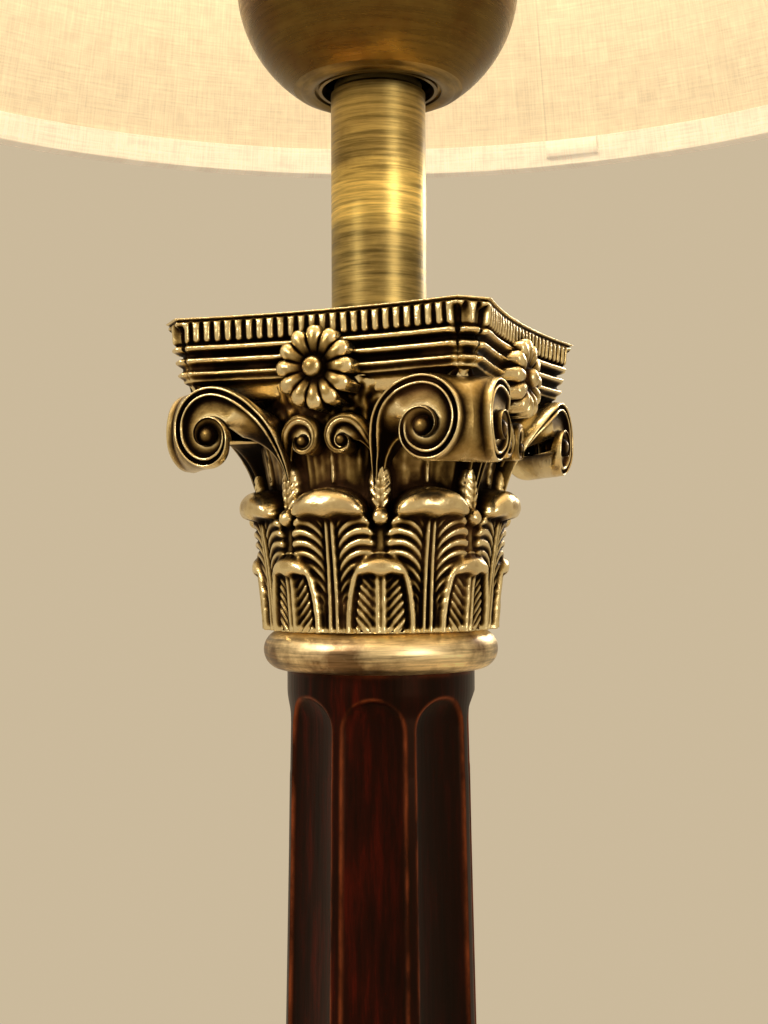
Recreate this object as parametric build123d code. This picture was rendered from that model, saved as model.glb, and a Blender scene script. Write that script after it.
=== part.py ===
from build123d import *
import math
import os

# A column table lamp: stepped mahogany foot, turned brass base, fluted mahogany shaft,
# cast Corinthian capital, brass neck tube and bowl, lamp socket, harp and fabric shade.
# Millimetres, +Z up. The origin is the centre of the felt pad's underside, and the front is -Y.

# ---------------------------------------------------------------- fits
rod_clearance = 0.25        # radial room round the tie rod in every bore
running_clearance = 0.05    # radial room of a turning fit
turning_gap = 0.2           # axial gap between pieces that turn on each other
glue_gap = 0.05             # room for the glue line of fabric and trim

# ---------------------------------------------------------------- foot
felt_thickness = 2.0
felt_inset = 3.0            # felt edge behind the wood's edge
lower_step_width = 150.0
middle_step_width = 122.0
upper_step_width = 96.0
middle_step_height = 18.0
upper_step_height = 15.0
step_edge_radius = 6.0      # quarter round on the top edge of each step
step_corner_radius = 2.0
pocket_width = 112.0        # hollow under the lower step, for the weight
pocket_web = 5.4            # wood left above the hollow
weight_width = 108.0
weight_thickness = 9.0
washer_radius = 11.0
washer_thickness = 1.6
nut_across_flats = 17.0
nut_thickness = 5.0
cord_room = 6.0             # height under the nut, for the cord to turn into the rod
outlet_height = 11.0        # axis of the cord outlet above the table
outlet_hole_radius = 5.0
outlet_bore_radius = 3.6
outlet_flange_radius = 7.5
outlet_flange_thickness = 1.6

# ---------------------------------------------------------------- column
base_height = 26.0
base_radius = 36.0          # lower torus of the turned base
shaft_length = 234.3
shaft_foot_radius = 25.4
shaft_top_radius = 21.1     # at the flutes' upper end
neck_band_radius = 21.6     # plain band above the flutes
neck_band_height = 8.0
foot_band_height = 9.0
shaft_bore_wall = 2.0       # clear drilling round the tie rod
flute_count = 8
flute_share = 0.88          # of the pitch, the rest is the land between two flutes
flute_depth = 2.2
flute_turn = 17.5           # azimuth of one flute's middle, from the front towards +X
rod_radius = 5.0
rod_bore_radius = 3.5
ring_bead_radius = 4.6
ring_bead_centre = 22.4

# ---------------------------------------------------------------- capital
capital_height = 54.7
bell_foot_radius = 23.4
bell_waist_radius = 25.0
bell_lip_radius = 32.5
bell_wall = 5.0
leaf_row_count = 8
low_leaf_height = 16.2
low_leaf_width = 16.0
low_leaf_foot_width = 13.0
low_leaf_foot = 25.2        # outside radius at the bottom
low_leaf_reach = 29.2       # tip radius
tall_leaf_height = 31.0
tall_leaf_width = 19.4
tall_leaf_foot_width = 9.0
tall_leaf_foot = 24.2
tall_leaf_reach = 33.2
leaf_lip_share = 0.16       # half height of the curled tip
leaf_rib_share = 0.07       # half width of the midrib
leaf_vein_count = 4
leaf_vein_radius = 0.5
leaf_vein_slope = 52.0
leaf_vein_depth = 0.5
bud_height = 11.0
bud_width = 5.6
bud_centre_height = 31.0
bud_centre_radius = 29.6
bud_lean = 8.0
bead_radius = 1.9
stalk_lean = 9.0
volute_radius = 8.6
volute_eye_offset = 27.1    # from the face's middle
volute_eye_height = 46.0
volute_front = 37.2         # face of the scroll's ribbon, from the axis
volute_ribbon = 2.4
volute_arch = 15.5          # radius of the stem's arch into the scroll
volute_drop = 18.0          # foot of the stem below the eye
volute_lean = 9.5           # how far the stem's foot lies behind the scroll's face
helix_radius = 4.0
helix_eye_offset = 4.5
helix_eye_height = 41.4
helix_front = 33.6
helix_ribbon = 1.3
helix_arch = 4.4
helix_drop = 12.0
helix_lean = 5.0
scroll_shrink = 0.873       # each quarter turn's radius over the one before
scroll_quarters = 7
scroll_sink = 1.2           # groove floor behind the ribbon's face
abacus_half = 38.0          # half width between opposite faces, at the corners
abacus_chamfer_start = 32.5
abacus_hollow = 2.8         # how far each face curves in at its middle
abacus_top_wall = 5.0
rosette_radius = 8.9
rosette_petals = 12
rosette_bead_radius = 2.15
rosette_rise = 2.2
rosette_groove = 1.1        # radius of a groove between two petals at the rim
rosette_groove_tilt = 12.0
rosette_height = 0.8        # its centre above the capital's top

# The abacus mouldings from the bottom up: height and inset of each course.
abacus_courses = [
    (1.6, 2.6),
    (1.5, 3.4),
    (1.3, 1.7),
    (1.4, 2.6),
    (1.3, 0.9),
    (0.6, 1.4),
    (5.3, 0.5),
    (0.6, 0.0),
]

# ---------------------------------------------------------------- neck and bowl
neck_radius = 11.1
neck_wall = 1.0
neck_length = 57.3
neck_chamfer = 0.8
seat_spigot_length = 6.0
riser_radius = 8.0
riser_flange_thickness = 1.4
bowl_radius = 33.0
bowl_depth = 30.0           # of the full half ellipse below the rim
bowl_floor_depth = 25.2     # from the rim to the cut bottom
bowl_wall = 1.2
collar_lap = 0.7            # the tube's end stands this far inside the collar
collar_radius = 18.2
collar_thickness = 1.2      # below the bowl's cut edge
collar_spigot = 2.5         # above it, inside the bowl
collar_hole_radius = 13.2
collar_lip_width = 0.8
collar_lip_rise = 0.7       # the lip and the groove's floor above the bead
collar_groove_width = 0.9
rim_bead_radius = 1.0
cover_height = 21.0
cover_wall = 1.2
cover_seat_radius = 12.0
skirt_depth = 4.0           # of the cover's skirt inside the bowl

# ---------------------------------------------------------------- socket and switch
saddle_thickness = 2.0
saddle_arm_width = 6.0
saddle_half_span = 24.0     # to the middle of each arm
saddle_arm_height = 8.0
cap_radius = 17.0
cap_height = 15.0
cap_wall = 0.7
cap_hub_height = 7.0
shell_wall = 0.6
shell_height = 36.0
liner_wall = 0.8
interior_radius = 14.9
interior_height = 18.0
thread_shell_radius = 13.7
thread_shell_wall = 0.45
thread_shell_height = 25.0
terminal_head_radius = 3.0
terminal_head_height = 1.8
terminal_flat = 11.4        # the block's two flats, from the axis
terminal_band = 9.0         # height of a flat
contact_width = 5.0
contact_thickness = 0.6
contact_rise = 1.8
switch_raise = 3.5          # the switch's axis above the block's middle
spindle_foot = 4.0          # inner end of the spindle, from the axis
spindle_radius = 2.0
spindle_length = 24.0
knob_radius = 5.5
knob_length = 11.0
knob_wing = 1.6

# ---------------------------------------------------------------- harp, bulb, finial
harp_wire_radius = 1.6
harp_leg_height = 22.0
harp_half_width = 56.0
harp_height = 262.0         # from the saddle to the underside of the shade's hub
harp_leg_bend = 30.0
harp_side_bend = 45.0
harp_top_bend = 14.0
harp_seat_radius = 9.0
harp_seat_thickness = 2.6
stud_radius = 3.1
stud_length = 14.0
sleeve_length = 16.0
sleeve_wall = 0.7
bulb_radius = 30.0
bulb_length = 108.0
bulb_base_radius = 13.0
bulb_base_height = 24.0
bulb_glass_wall = 0.8
filament_stem = 4.0
filament_ring = 9.0
filament_wire = 0.6
finial_radius = 8.0
finial_height = 27.0

# ---------------------------------------------------------------- shade
shade_bottom_radius = 225.0
shade_top_radius = 108.0
shade_height = 280.0
shade_cloth = 1.0
shade_drop = 12.0           # the hub lies this far below the shade's top edge
ring_wire_radius = 1.8
spider_wire_radius = 1.6
spider_arm_count = 3
spider_turn = 90.0          # azimuth of the first arm, from +X
hub_radius = 13.0
hub_thickness = 2.0
hub_hole_clearance = 0.4
spider_shoulder = 6.0
spider_bend = 8.0
hem_thickness = 0.7
hem_depth = 9.0
notch_length = 8.0
notch_width = 5.0

# ---------------------------------------------------------------- heights, worked out
pocket_depth = weight_thickness + washer_thickness + nut_thickness + cord_room
lower_step_height = pocket_depth + pocket_web
lower_step_top = felt_thickness + lower_step_height
middle_step_top = lower_step_top + middle_step_height
upper_step_top = middle_step_top + upper_step_height
base_top = upper_step_top + base_height
shaft_top = base_top + shaft_length
ring_top = shaft_top + 2 * ring_bead_radius
capital_top = ring_top + capital_height
abacus_top = capital_top + sum(height for height, inset in abacus_courses)
neck_top = abacus_top + neck_length
bowl_bottom = neck_top - collar_lap
bowl_rim = bowl_bottom + bowl_floor_depth
cover_top = bowl_rim + cover_height
saddle_top = cover_top + saddle_thickness
socket_base = saddle_top
interior_base = socket_base + cap_hub_height
interior_top = interior_base + interior_height
weight_top = felt_thickness + pocket_depth
nut_bottom = felt_thickness + cord_room
hub_bottom = saddle_top + harp_height
shade_top = hub_bottom + hub_thickness + shade_drop
shade_rim = shade_top - shade_height
shade_slope = (shade_bottom_radius - shade_top_radius) / shade_height
bottom_wire_level = shade_rim + hem_thickness + 2 * glue_gap + ring_wire_radius
top_wire_level = shade_top - hem_thickness - 2 * glue_gap - ring_wire_radius
rod_bore = rod_radius + rod_clearance
bulb_seat = interior_top + contact_rise + turning_gap
on_floor = (Align.CENTER, Align.CENTER, Align.MIN)
switch_axis = Pos(0, 0, interior_base + interior_height / 2 + switch_raise) * Rot(90, 0, 0)


# ---------------------------------------------------------------- helpers
def turned(points):
    """A closed outline of (radius, height) points, turned about the Z axis."""
    return revolve(Plane.XZ * make_face(Polyline(*points, close=True)), Axis.Z)


def turned_face(face):
    """A face drawn with X as radius and Y as height, turned about the Z axis."""
    return revolve(Plane.XZ * face, Axis.Z)


def tube(outer, inner, bottom, top):
    """A plain tube on the Z axis."""
    return turned([(inner, bottom), (outer, bottom), (outer, top), (inner, top)])


def around(piece, count, start=0.0):
    """Copies of a piece, evenly spaced about the Z axis."""
    return [Rot(0, 0, start + 360 * i / count) * piece for i in range(count)]


def save(name, piece):
    """Writes one sub-part to its own file."""
    export_step(piece, f"parts/{name}.step")


# ---------------------------------------------------------------- foot
def felt_pad():
    width = lower_step_width - 2 * felt_inset
    return Pos(0, 0, felt_thickness / 2) * Box(width, width, felt_thickness)


def step(width, bottom, top):
    """One square wooden step with rounded corners, a quarter round and the rod's bore."""
    height = top - bottom
    block = Pos(0, 0, bottom + height / 2) * Box(width, width, height)
    block = fillet(block.edges().filter_by(Axis.Z), step_corner_radius)
    block = fillet(block.edges().group_by(Axis.Z)[-1], step_edge_radius)
    return block - Pos(0, 0, bottom + height / 2) * Cylinder(rod_bore, height)


def plinth_lower():
    body = step(lower_step_width, felt_thickness, lower_step_top)
    pocket_middle = felt_thickness + pocket_depth / 2
    body -= Pos(0, 0, pocket_middle) * Box(pocket_width, pocket_width, pocket_depth)
    wall = (lower_step_width - pocket_width) / 2
    hole = Pos(0, lower_step_width / 2 - wall / 2, outlet_height) * Rot(90, 0, 0)
    return body - hole * Cylinder(outlet_hole_radius, wall)


def base_weight():
    middle = weight_top - weight_thickness / 2
    block = Pos(0, 0, middle) * Box(weight_width, weight_width, weight_thickness)
    block = chamfer(block.edges().filter_by(Axis.Z), weight_thickness / 2)
    return block - Pos(0, 0, middle) * Cylinder(rod_bore, weight_thickness)


def rod_washer():
    top = weight_top - weight_thickness
    return tube(washer_radius, rod_bore, top - washer_thickness, top)


def rod_nut():
    nut_radius = nut_across_flats / 2
    hexagon = RegularPolygon(nut_radius, 6, major_radius=False)
    body = Pos(0, 0, nut_bottom) * extrude(hexagon, nut_thickness)
    bore = rod_radius + running_clearance
    return body - Pos(0, 0, nut_bottom + nut_thickness / 2) * Cylinder(bore, nut_thickness)


def tie_rod():
    """Threaded pipe from under the weight up into the socket cap."""
    return tube(rod_radius, rod_bore_radius, nut_bottom - 1.0, socket_base + cap_hub_height - 1.0)


def cord_bushing():
    """Flanged bush in the back wall, where the cord would leave."""
    wall = (lower_step_width - pocket_width) / 2
    barrel = outlet_hole_radius - running_clearance
    outline = [
        (outlet_bore_radius, 0),
        (barrel, 0),
        (barrel, wall),
        (outlet_flange_radius, wall),
        (outlet_flange_radius, wall + outlet_flange_thickness),
        (outlet_bore_radius, wall + outlet_flange_thickness),
    ]
    inner_face = pocket_width / 2
    return Pos(0, inner_face, outlet_height) * Rot(-90, 0, 0) * turned(outline)


# ---------------------------------------------------------------- column
def attic_base():
    """Turned base: torus, fillet, scotia, fillet, torus and a top fillet, hollow inside."""
    low_torus = base_height * 0.34
    fillet_height = base_height * 0.06
    scotia = base_height * 0.24
    high_torus = base_height * 0.2
    low_fillet = base_radius - low_torus / 2
    high_fillet = low_fillet - fillet_height
    top_fillet = high_fillet - 1.5 * fillet_height
    z1 = upper_step_top + low_torus
    z2 = z1 + fillet_height
    z3 = z2 + scotia
    z4 = z3 + fillet_height
    z5 = z4 + high_torus
    inner = rod_bore
    scotia_middle = (high_fillet - scotia / 2.4, (z2 + z3) / 2)
    outline = Polyline((low_fillet, upper_step_top), (inner, upper_step_top), (inner, base_top))
    outline += Polyline((inner, base_top), (top_fillet, base_top), (top_fillet, z5))
    outline += Line((top_fillet, z5), (high_fillet, z5))
    outline += ThreePointArc(
        (high_fillet, z5),
        (high_fillet + high_torus / 2, (z4 + z5) / 2),
        (high_fillet, z4),
    )
    outline += Line((high_fillet, z4), (high_fillet, z3))
    outline += ThreePointArc((high_fillet, z3), scotia_middle, (low_fillet, z2))
    outline += Line((low_fillet, z2), (low_fillet, z1))
    outline += ThreePointArc(
        (low_fillet, z1),
        (base_radius, upper_step_top + low_torus / 2),
        (low_fillet, upper_step_top),
    )
    return turned_face(make_face(outline))


def flute_cutter():
    """The round-nosed scoop of one flute: a slim cone with ball ends, on the front side."""
    half_angle = math.radians(180 / flute_count * flute_share)

    def scoop(radius):
        chord = radius * math.sin(half_angle)
        floor = radius * math.cos(half_angle) - flute_depth
        scoop_radius = (chord**2 + flute_depth**2) / (2 * flute_depth)
        return chord, floor + scoop_radius, scoop_radius

    top_chord, top_centre, top_scoop = scoop(shaft_top_radius)
    foot_chord, foot_centre, foot_scoop = scoop(shaft_foot_radius)
    top_z = shaft_top - neck_band_height - top_chord
    foot_z = base_top + foot_band_height + foot_chord
    length = top_z - foot_z
    outline = Line((0, -foot_scoop), (0, length + top_scoop))
    outline += CenterArc((0, 0), foot_scoop, -90, 90)
    outline += Line((foot_scoop, 0), (top_scoop, length))
    outline += CenterArc((0, length), top_scoop, 0, 90)
    cutter = turned_face(make_face(outline))
    lean = math.degrees(math.atan((foot_centre - top_centre) / length))
    return Pos(0, -foot_centre, foot_z) * Rot(-lean, 0, 0) * cutter


def column_shaft():
    """Tapered shaft with a plain band at each end and round-ended flutes between."""
    bore = rod_bore + shaft_bore_wall
    flutes_top = shaft_top - neck_band_height
    flutes_foot = base_top + foot_band_height
    outline = Polyline((bore, base_top), (shaft_foot_radius, base_top))
    outline += Line((shaft_foot_radius, base_top), (shaft_foot_radius, flutes_foot))
    outline += Line((shaft_foot_radius, flutes_foot), (shaft_top_radius, flutes_top))
    outline += Line((shaft_top_radius, flutes_top), (neck_band_radius, flutes_top + 1.5))
    outline += Polyline(
        (neck_band_radius, flutes_top + 1.5),
        (neck_band_radius, shaft_top),
        (bore, shaft_top),
        (bore, base_top),
    )
    shaft = turned_face(make_face(outline))
    for cutter in around(flute_cutter(), flute_count, flute_turn):
        shaft -= cutter
    return shaft


def astragal_ring():
    """Brass bead ring between the shaft and the capital."""
    middle = shaft_top + ring_bead_radius
    outline = Polyline(
        (ring_bead_centre, shaft_top),
        (rod_bore, shaft_top),
        (rod_bore, ring_top),
        (ring_bead_centre, ring_top),
    )
    outline += ThreePointArc(
        (ring_bead_centre, ring_top),
        (ring_bead_centre + ring_bead_radius, middle),
        (ring_bead_centre, shaft_top),
    )
    return turned_face(make_face(outline))


# ---------------------------------------------------------------- capital
def bell():
    """The capital's hollow core, flared at the lip and open at the top."""
    waist = capital_height * 0.45
    outer = Spline(
        (bell_foot_radius, 0),
        (bell_waist_radius, waist),
        (bell_lip_radius, capital_height),
        tangents=[(0.05, 1), (0.75, 1)],
    )
    inside = Polyline(
        (bell_lip_radius, capital_height),
        (bell_lip_radius - bell_wall, capital_height),
        (bell_waist_radius - bell_wall, waist),
        (bell_foot_radius - bell_wall, bell_wall),
        (rod_bore, bell_wall),
        (rod_bore, 0),
        (bell_foot_radius, 0),
    )
    return turned_face(make_face(outer + inside))


def leaf_side(height, foot, reach, skin):
    """Half section of a leaf, moved out by skin: it leans on the bell and its tip curls over."""
    lip = height * leaf_lip_share
    under = (foot + reach) / 2
    side = Polyline(
        (foot + skin, 0),
        (foot * 0.65 + under * 0.35 + skin, height * 0.38),
        (under + skin, height - 2 * lip),
    )
    side += ThreePointArc(
        (under + skin, height - 2 * lip),
        (reach, height - lip),
        (reach - lip, height),
    )
    side += Polyline(
        (reach - lip, height),
        (bell_foot_radius + 1.0, height),
        (bell_foot_radius - 1.5, 0),
        (foot + skin, 0),
    )
    return turned_face(make_face(side))


def leaf(height, width, foot_width, foot, reach):
    """One acanthus leaf facing -Y: an arched blade with a curled tip, a midrib and veins."""
    half = width / 2
    shoulder = height - half
    arch = Polyline(
        (-half, shoulder),
        (-foot_width / 2, 0),
        (foot_width / 2, 0),
        (half, shoulder),
    )
    arch += ThreePointArc((half, shoulder), (0, height), (-half, shoulder))
    outline = make_face(arch)
    rib_half = width * leaf_rib_share
    vein_rise = math.radians(leaf_vein_slope)
    vein_run = half * 0.72
    blade = outline
    for number in range(leaf_vein_count):
        foot_level = height * (0.1 + 0.45 * number / leaf_vein_count)
        middle = Vector(rib_half + vein_run / 2 + leaf_vein_radius, foot_level)
        middle = middle + Vector(0, vein_run / 2 * math.tan(vein_rise))
        length = vein_run / math.cos(vein_rise)
        vein = SlotOverall(length, 2 * leaf_vein_radius, rotation=leaf_vein_slope)
        vein = Pos(middle.X, middle.Y) * vein
        blade = blade - vein - mirror(vein, Plane.YZ)
    rib_top = height * (1 - 2 * leaf_lip_share)
    rib = Pos(0, rib_top / 2) * Rectangle(2 * rib_half, rib_top)

    def cut_out(window):
        return Plane.XZ * extrude(window, reach + 2.0)

    body = leaf_side(height, foot, reach, 0) & cut_out(outline)
    body += leaf_side(height, foot, reach, leaf_vein_depth) & cut_out(blade)
    body += leaf_side(height, foot, reach, 2 * leaf_vein_depth) & cut_out(rib)
    return body


def scroll_spiral(radius, quarters):
    """Tangent quarter circles that shrink, clockwise from the top, round (0, 0)."""
    arcs = []
    centre = Vector(0, 0)
    angle = 90.0
    for _ in range(quarters):
        arcs.append(CenterArc(centre, radius, angle, -90))
        angle -= 90.0
        shrink = radius * (1 - scroll_shrink)
        turn = math.radians(angle)
        centre = centre + Vector(math.cos(turn), math.sin(turn)) * shrink
        radius -= shrink
    return arcs


def scroll_face(radius, ribbon, arch, drop):
    """A scroll's ribbon: a stem that rises, arches over and rolls up clockwise."""
    outer = scroll_spiral(radius, scroll_quarters)
    inner = scroll_spiral(radius - ribbon, scroll_quarters)
    spring = radius - arch
    outline = Curve() + outer + inner
    outline += Line(outer[-1] @ 1, inner[-1] @ 1)
    outline += CenterArc((0, spring), arch, 90, 90)
    outline += CenterArc((0, spring), arch - ribbon, 90, 90)
    outline += Polyline(
        (-arch, spring),
        (-arch, -drop),
        (-arch + ribbon, -drop),
        (-arch + ribbon, spring),
    )
    return make_face(outline)


def scroll(radius, ribbon, arch, drop, front, lean):
    """One scroll standing off the bell: ribbon, sunk disc and round eye, facing -Y."""
    back = bell_foot_radius - bell_wall * 0.7
    ribbon_body = extrude(scroll_face(radius, ribbon, arch, drop), front - back)
    disc = extrude(Circle(radius - ribbon / 2), front - back - scroll_sink)
    eye = extrude(Circle(radius * 0.2), front - back)
    body = Pos(0, -back, 0) * (Plane.XZ * (ribbon_body + disc + eye))
    side = make_face(
        Polyline(
            (-front, radius + 1),
            (-front, -radius),
            (-front + lean, -drop),
            (-back, -drop),
            (-back, radius + 1),
            close=True,
        )
    )
    plan = make_face(
        Polyline(
            (radius + 1, -front),
            (-radius, -front),
            (-arch, -front + lean * 0.5),
            (-arch, -back),
            (radius + 1, -back),
            close=True,
        )
    )
    body &= extrude(Plane.YZ * side, 2 * arch + radius, both=True)
    return body & extrude(plan, 2 * arch + drop, both=True)


def corner_volutes():
    """Two volutes that meet on the diagonal at the front right corner."""
    reach = 2 * abacus_half
    volute = scroll(volute_radius, volute_ribbon, volute_arch, volute_drop, volute_front, volute_lean)
    volute = Pos(volute_eye_offset, 0, volute_eye_height) * volute
    front_half = make_face(Polyline((0, 0), (0, -reach), (reach, -reach), close=True))
    volute &= extrude(front_half, reach)
    diagonal = Plane((0, 0, 0), x_dir=(0, 0, 1), z_dir=(1, 1, 0))
    return volute + mirror(volute, diagonal)


def face_helices():
    """The pair of small scrolls that curl together under the front rosette."""
    helix = scroll(helix_radius, helix_ribbon, helix_arch, helix_drop, helix_front, helix_lean)
    helix = Pos(helix_eye_offset, 0, helix_eye_height) * mirror(helix, Plane.YZ)
    return [helix, mirror(helix, Plane.YZ)]


def bud():
    """Pointed bud between two tall leaves, with the bead and stalk under it, facing -Y."""
    end_flat = bud_width * 0.06
    almond = Polyline(
        (end_flat, bud_height / 2),
        (0, bud_height / 2),
        (0, -bud_height / 2),
        (end_flat, -bud_height / 2),
    )
    almond += Spline(
        (end_flat, -bud_height / 2),
        (bud_width / 2, -bud_height * 0.08),
        (end_flat, bud_height / 2),
        tangents=[(1, 0.4), (-0.5, 1)],
    )
    body = turned_face(make_face(almond))
    body = Pos(0, -bud_centre_radius, bud_centre_height) * Rot(-bud_lean, 0, 0) * body
    bead_height = bud_centre_height - bud_height / 2 - bead_radius * 0.6
    bead_centre = bud_centre_radius - bead_radius * 0.5
    body += Pos(0, -bead_centre, bead_height) * Sphere(bead_radius)
    stalk = Cylinder(bead_radius * 0.7, bead_height - low_leaf_height / 2, align=on_floor)
    stalk = Pos(0, -bead_centre + 3.2, low_leaf_height / 2) * Rot(-stalk_lean, 0, 0) * stalk
    return body + stalk


def capital():
    """The casting under the abacus: bell, two rows of leaves, buds, volutes and helices."""
    low = leaf(low_leaf_height, low_leaf_width, low_leaf_foot_width, low_leaf_foot, low_leaf_reach)
    tall = leaf(
        tall_leaf_height,
        tall_leaf_width,
        tall_leaf_foot_width,
        tall_leaf_foot,
        tall_leaf_reach,
    )
    half_pitch = 180 / leaf_row_count
    body = bell() + around(corner_volutes(), 4)
    for helix in face_helices():
        body += around(helix, 4)
    body += around(tall, leaf_row_count)
    body += around(low, leaf_row_count, half_pitch)
    body += around(bud(), leaf_row_count, half_pitch)
    return Pos(0, 0, ring_top) * body


def abacus_outline(inset):
    """Square with hollowed sides and cut corners, drawn inside the full size by inset."""
    half = abacus_half - inset
    start = abacus_chamfer_start - inset * math.tan(math.radians(22.5))
    middle = half - abacus_hollow
    side = ThreePointArc((-start, -half), (0, -middle), (start, -half))
    corner = Line((start, -half), (half, -start))
    edges = Curve()
    for turn in range(4):
        edges += Rot(0, 0, 90 * turn) * side
        edges += Rot(0, 0, 90 * turn) * corner
    return make_face(edges)


def rosette():
    """Twelve-petalled flower: a dome parted by tapered grooves, with a bead, facing -Y."""
    face = abacus_half - abacus_hollow - 0.3
    back = bell_lip_radius + turning_gap
    half = Line((0, 0), (rosette_radius, 0))
    half += Line((rosette_radius, 0), (rosette_radius, face - back))
    half += EllipticalCenterArc((0, face - back), rosette_radius, rosette_rise, 0, arc_size=90)
    half += Line((0, face - back + rosette_rise), (0, 0))
    body = turned_face(make_face(half))
    length = rosette_radius * 1.2
    groove = Cone(rosette_groove * 0.4, rosette_groove, length)
    groove = Pos(0, -length / 2, 0) * Rot(90, 0, 0) * groove
    level = face - back + rosette_rise
    groove = Pos(0, 0, level) * Rot(rosette_groove_tilt, 0, 0) * groove
    for cut in around(groove, rosette_petals):
        body -= cut
    body += Pos(0, 0, level - rosette_bead_radius * 0.3) * Sphere(rosette_bead_radius)
    return Pos(0, -back, rosette_height) * (Plane.XZ * body)


def abacus():
    """Moulded cap plate with a rosette on each side and a spigot for the neck tube."""
    body = Part()
    level = 0.0
    for height, inset in abacus_courses:
        body += Pos(0, 0, level) * extrude(abacus_outline(inset), height)
        level += height
    body += around(rosette(), 4)
    spigot = neck_radius - neck_wall - running_clearance
    top = level + seat_spigot_length / 2
    body += Pos(0, 0, top) * Cylinder(spigot, seat_spigot_length)
    hollow = bell_lip_radius - bell_wall
    depth = level - abacus_top_wall
    body -= Pos(0, 0, depth / 2) * Cylinder(hollow, depth)
    total = level + seat_spigot_length
    body -= Pos(0, 0, total / 2) * Cylinder(rod_bore, total)
    return Pos(0, 0, capital_top) * body


# ---------------------------------------------------------------- neck and bowl
def neck_tube():
    """Plain brass tube, chamfered at its top end."""
    inner = neck_radius - neck_wall
    return turned(
        [
            (inner, abacus_top),
            (neck_radius, abacus_top),
            (neck_radius, neck_top - neck_chamfer),
            (neck_radius - neck_chamfer, neck_top),
            (inner, neck_top),
        ]
    )


def riser():
    """Turned spacer that plugs the neck tube and carries the bowl's cover."""
    spigot = neck_radius - neck_wall - running_clearance
    flange = neck_radius - neck_chamfer
    flange_top = neck_top + riser_flange_thickness
    seat = cover_top - cover_wall
    return turned(
        [
            (rod_bore, neck_top - seat_spigot_length),
            (spigot, neck_top - seat_spigot_length),
            (spigot, neck_top),
            (flange, neck_top),
            (flange, flange_top),
            (riser_radius, flange_top),
            (riser_radius, seat),
            (rod_bore, seat),
        ]
    )


def bowl_half(radius, depth):
    """Solid half ellipsoid that hangs from the bowl's rim."""
    outline = EllipticalCenterArc((0, bowl_rim), radius, depth, 0, arc_size=-90)
    outline += Polyline((0, bowl_rim - depth), (0, bowl_rim), (radius, bowl_rim))
    return turned_face(make_face(outline))


def bowl():
    """Spun brass bowl, open at the rim, cut off below for the collar."""
    shell = bowl_half(bowl_radius, bowl_depth)
    shell -= bowl_half(bowl_radius - bowl_wall, bowl_depth - bowl_wall)
    return shell - tube(bowl_radius, 0, bowl_rim - bowl_depth, bowl_bottom + collar_thickness)


def bowl_inside(depth):
    """Radius of the bowl's inner face at a depth below its rim."""
    return (bowl_radius - bowl_wall) * math.sqrt(1 - (depth / (bowl_depth - bowl_wall)) ** 2)


def bowl_collar():
    """Turned ring in the bowl's floor: a rounded outer bead, a groove and a thin inner lip."""
    shoulder = bowl_bottom + collar_thickness
    seat_depth = bowl_rim - shoulder
    seat = bowl_radius * math.sqrt(1 - (seat_depth / bowl_depth) ** 2)
    spigot = bowl_inside(seat_depth) - glue_gap
    lip = collar_hole_radius + collar_lip_width
    groove = lip + collar_groove_width
    groove_floor = bowl_bottom + 2 * collar_lip_rise
    bead_middle = (collar_radius + groove) / 2
    outline = Polyline(
        (collar_radius, bowl_bottom + collar_thickness / 2),
        (seat, shoulder),
        (spigot, shoulder),
        (spigot, shoulder + collar_spigot),
        (collar_hole_radius, shoulder + collar_spigot),
        (collar_hole_radius, bowl_bottom + collar_lip_rise),
        (lip, bowl_bottom + collar_lip_rise),
        (lip, groove_floor),
        (groove, groove_floor),
        (groove, bowl_bottom + collar_thickness / 2),
    )
    outline += ThreePointArc(
        (groove, bowl_bottom + collar_thickness / 2),
        (bead_middle, bowl_bottom),
        (collar_radius, bowl_bottom + collar_thickness / 2),
    )
    return turned_face(make_face(outline))


def cover_half(radius, rise):
    """Solid dome that stands on the bowl's rim."""
    outline = EllipticalCenterArc((0, bowl_rim), radius, rise, 0, arc_size=90)
    outline += Polyline((0, bowl_rim + rise), (0, bowl_rim), (radius, bowl_rim))
    return turned_face(make_face(outline))


def bowl_cover():
    """Domed lid of the bowl with a bead at the rim, a flat seat on top and a skirt inside."""
    rise = cover_height / math.sqrt(1 - (cover_seat_radius / bowl_radius) ** 2)
    dome = cover_half(bowl_radius, rise) - cover_half(bowl_radius - cover_wall, rise - cover_wall)
    dome -= tube(bowl_radius, 0, cover_top, cover_top + rise)
    seat = tube(cover_seat_radius + cover_wall, rod_bore, cover_top - cover_wall, cover_top)
    skirt_outer = bowl_inside(skirt_depth) - glue_gap
    skirt_inner = skirt_outer - cover_wall
    ledge = bowl_radius - cover_wall / 2
    skirt = turned(
        [
            (skirt_inner, bowl_rim - skirt_depth),
            (skirt_outer, bowl_rim - skirt_depth),
            (skirt_outer, bowl_rim),
            (ledge, bowl_rim),
            (ledge, bowl_rim + cover_wall),
            (skirt_inner, bowl_rim + cover_wall),
        ]
    )
    bead = Pos(0, 0, bowl_rim + rim_bead_radius) * Torus(bowl_radius - 0.2, rim_bead_radius)
    return dome + seat + skirt + bead


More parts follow.
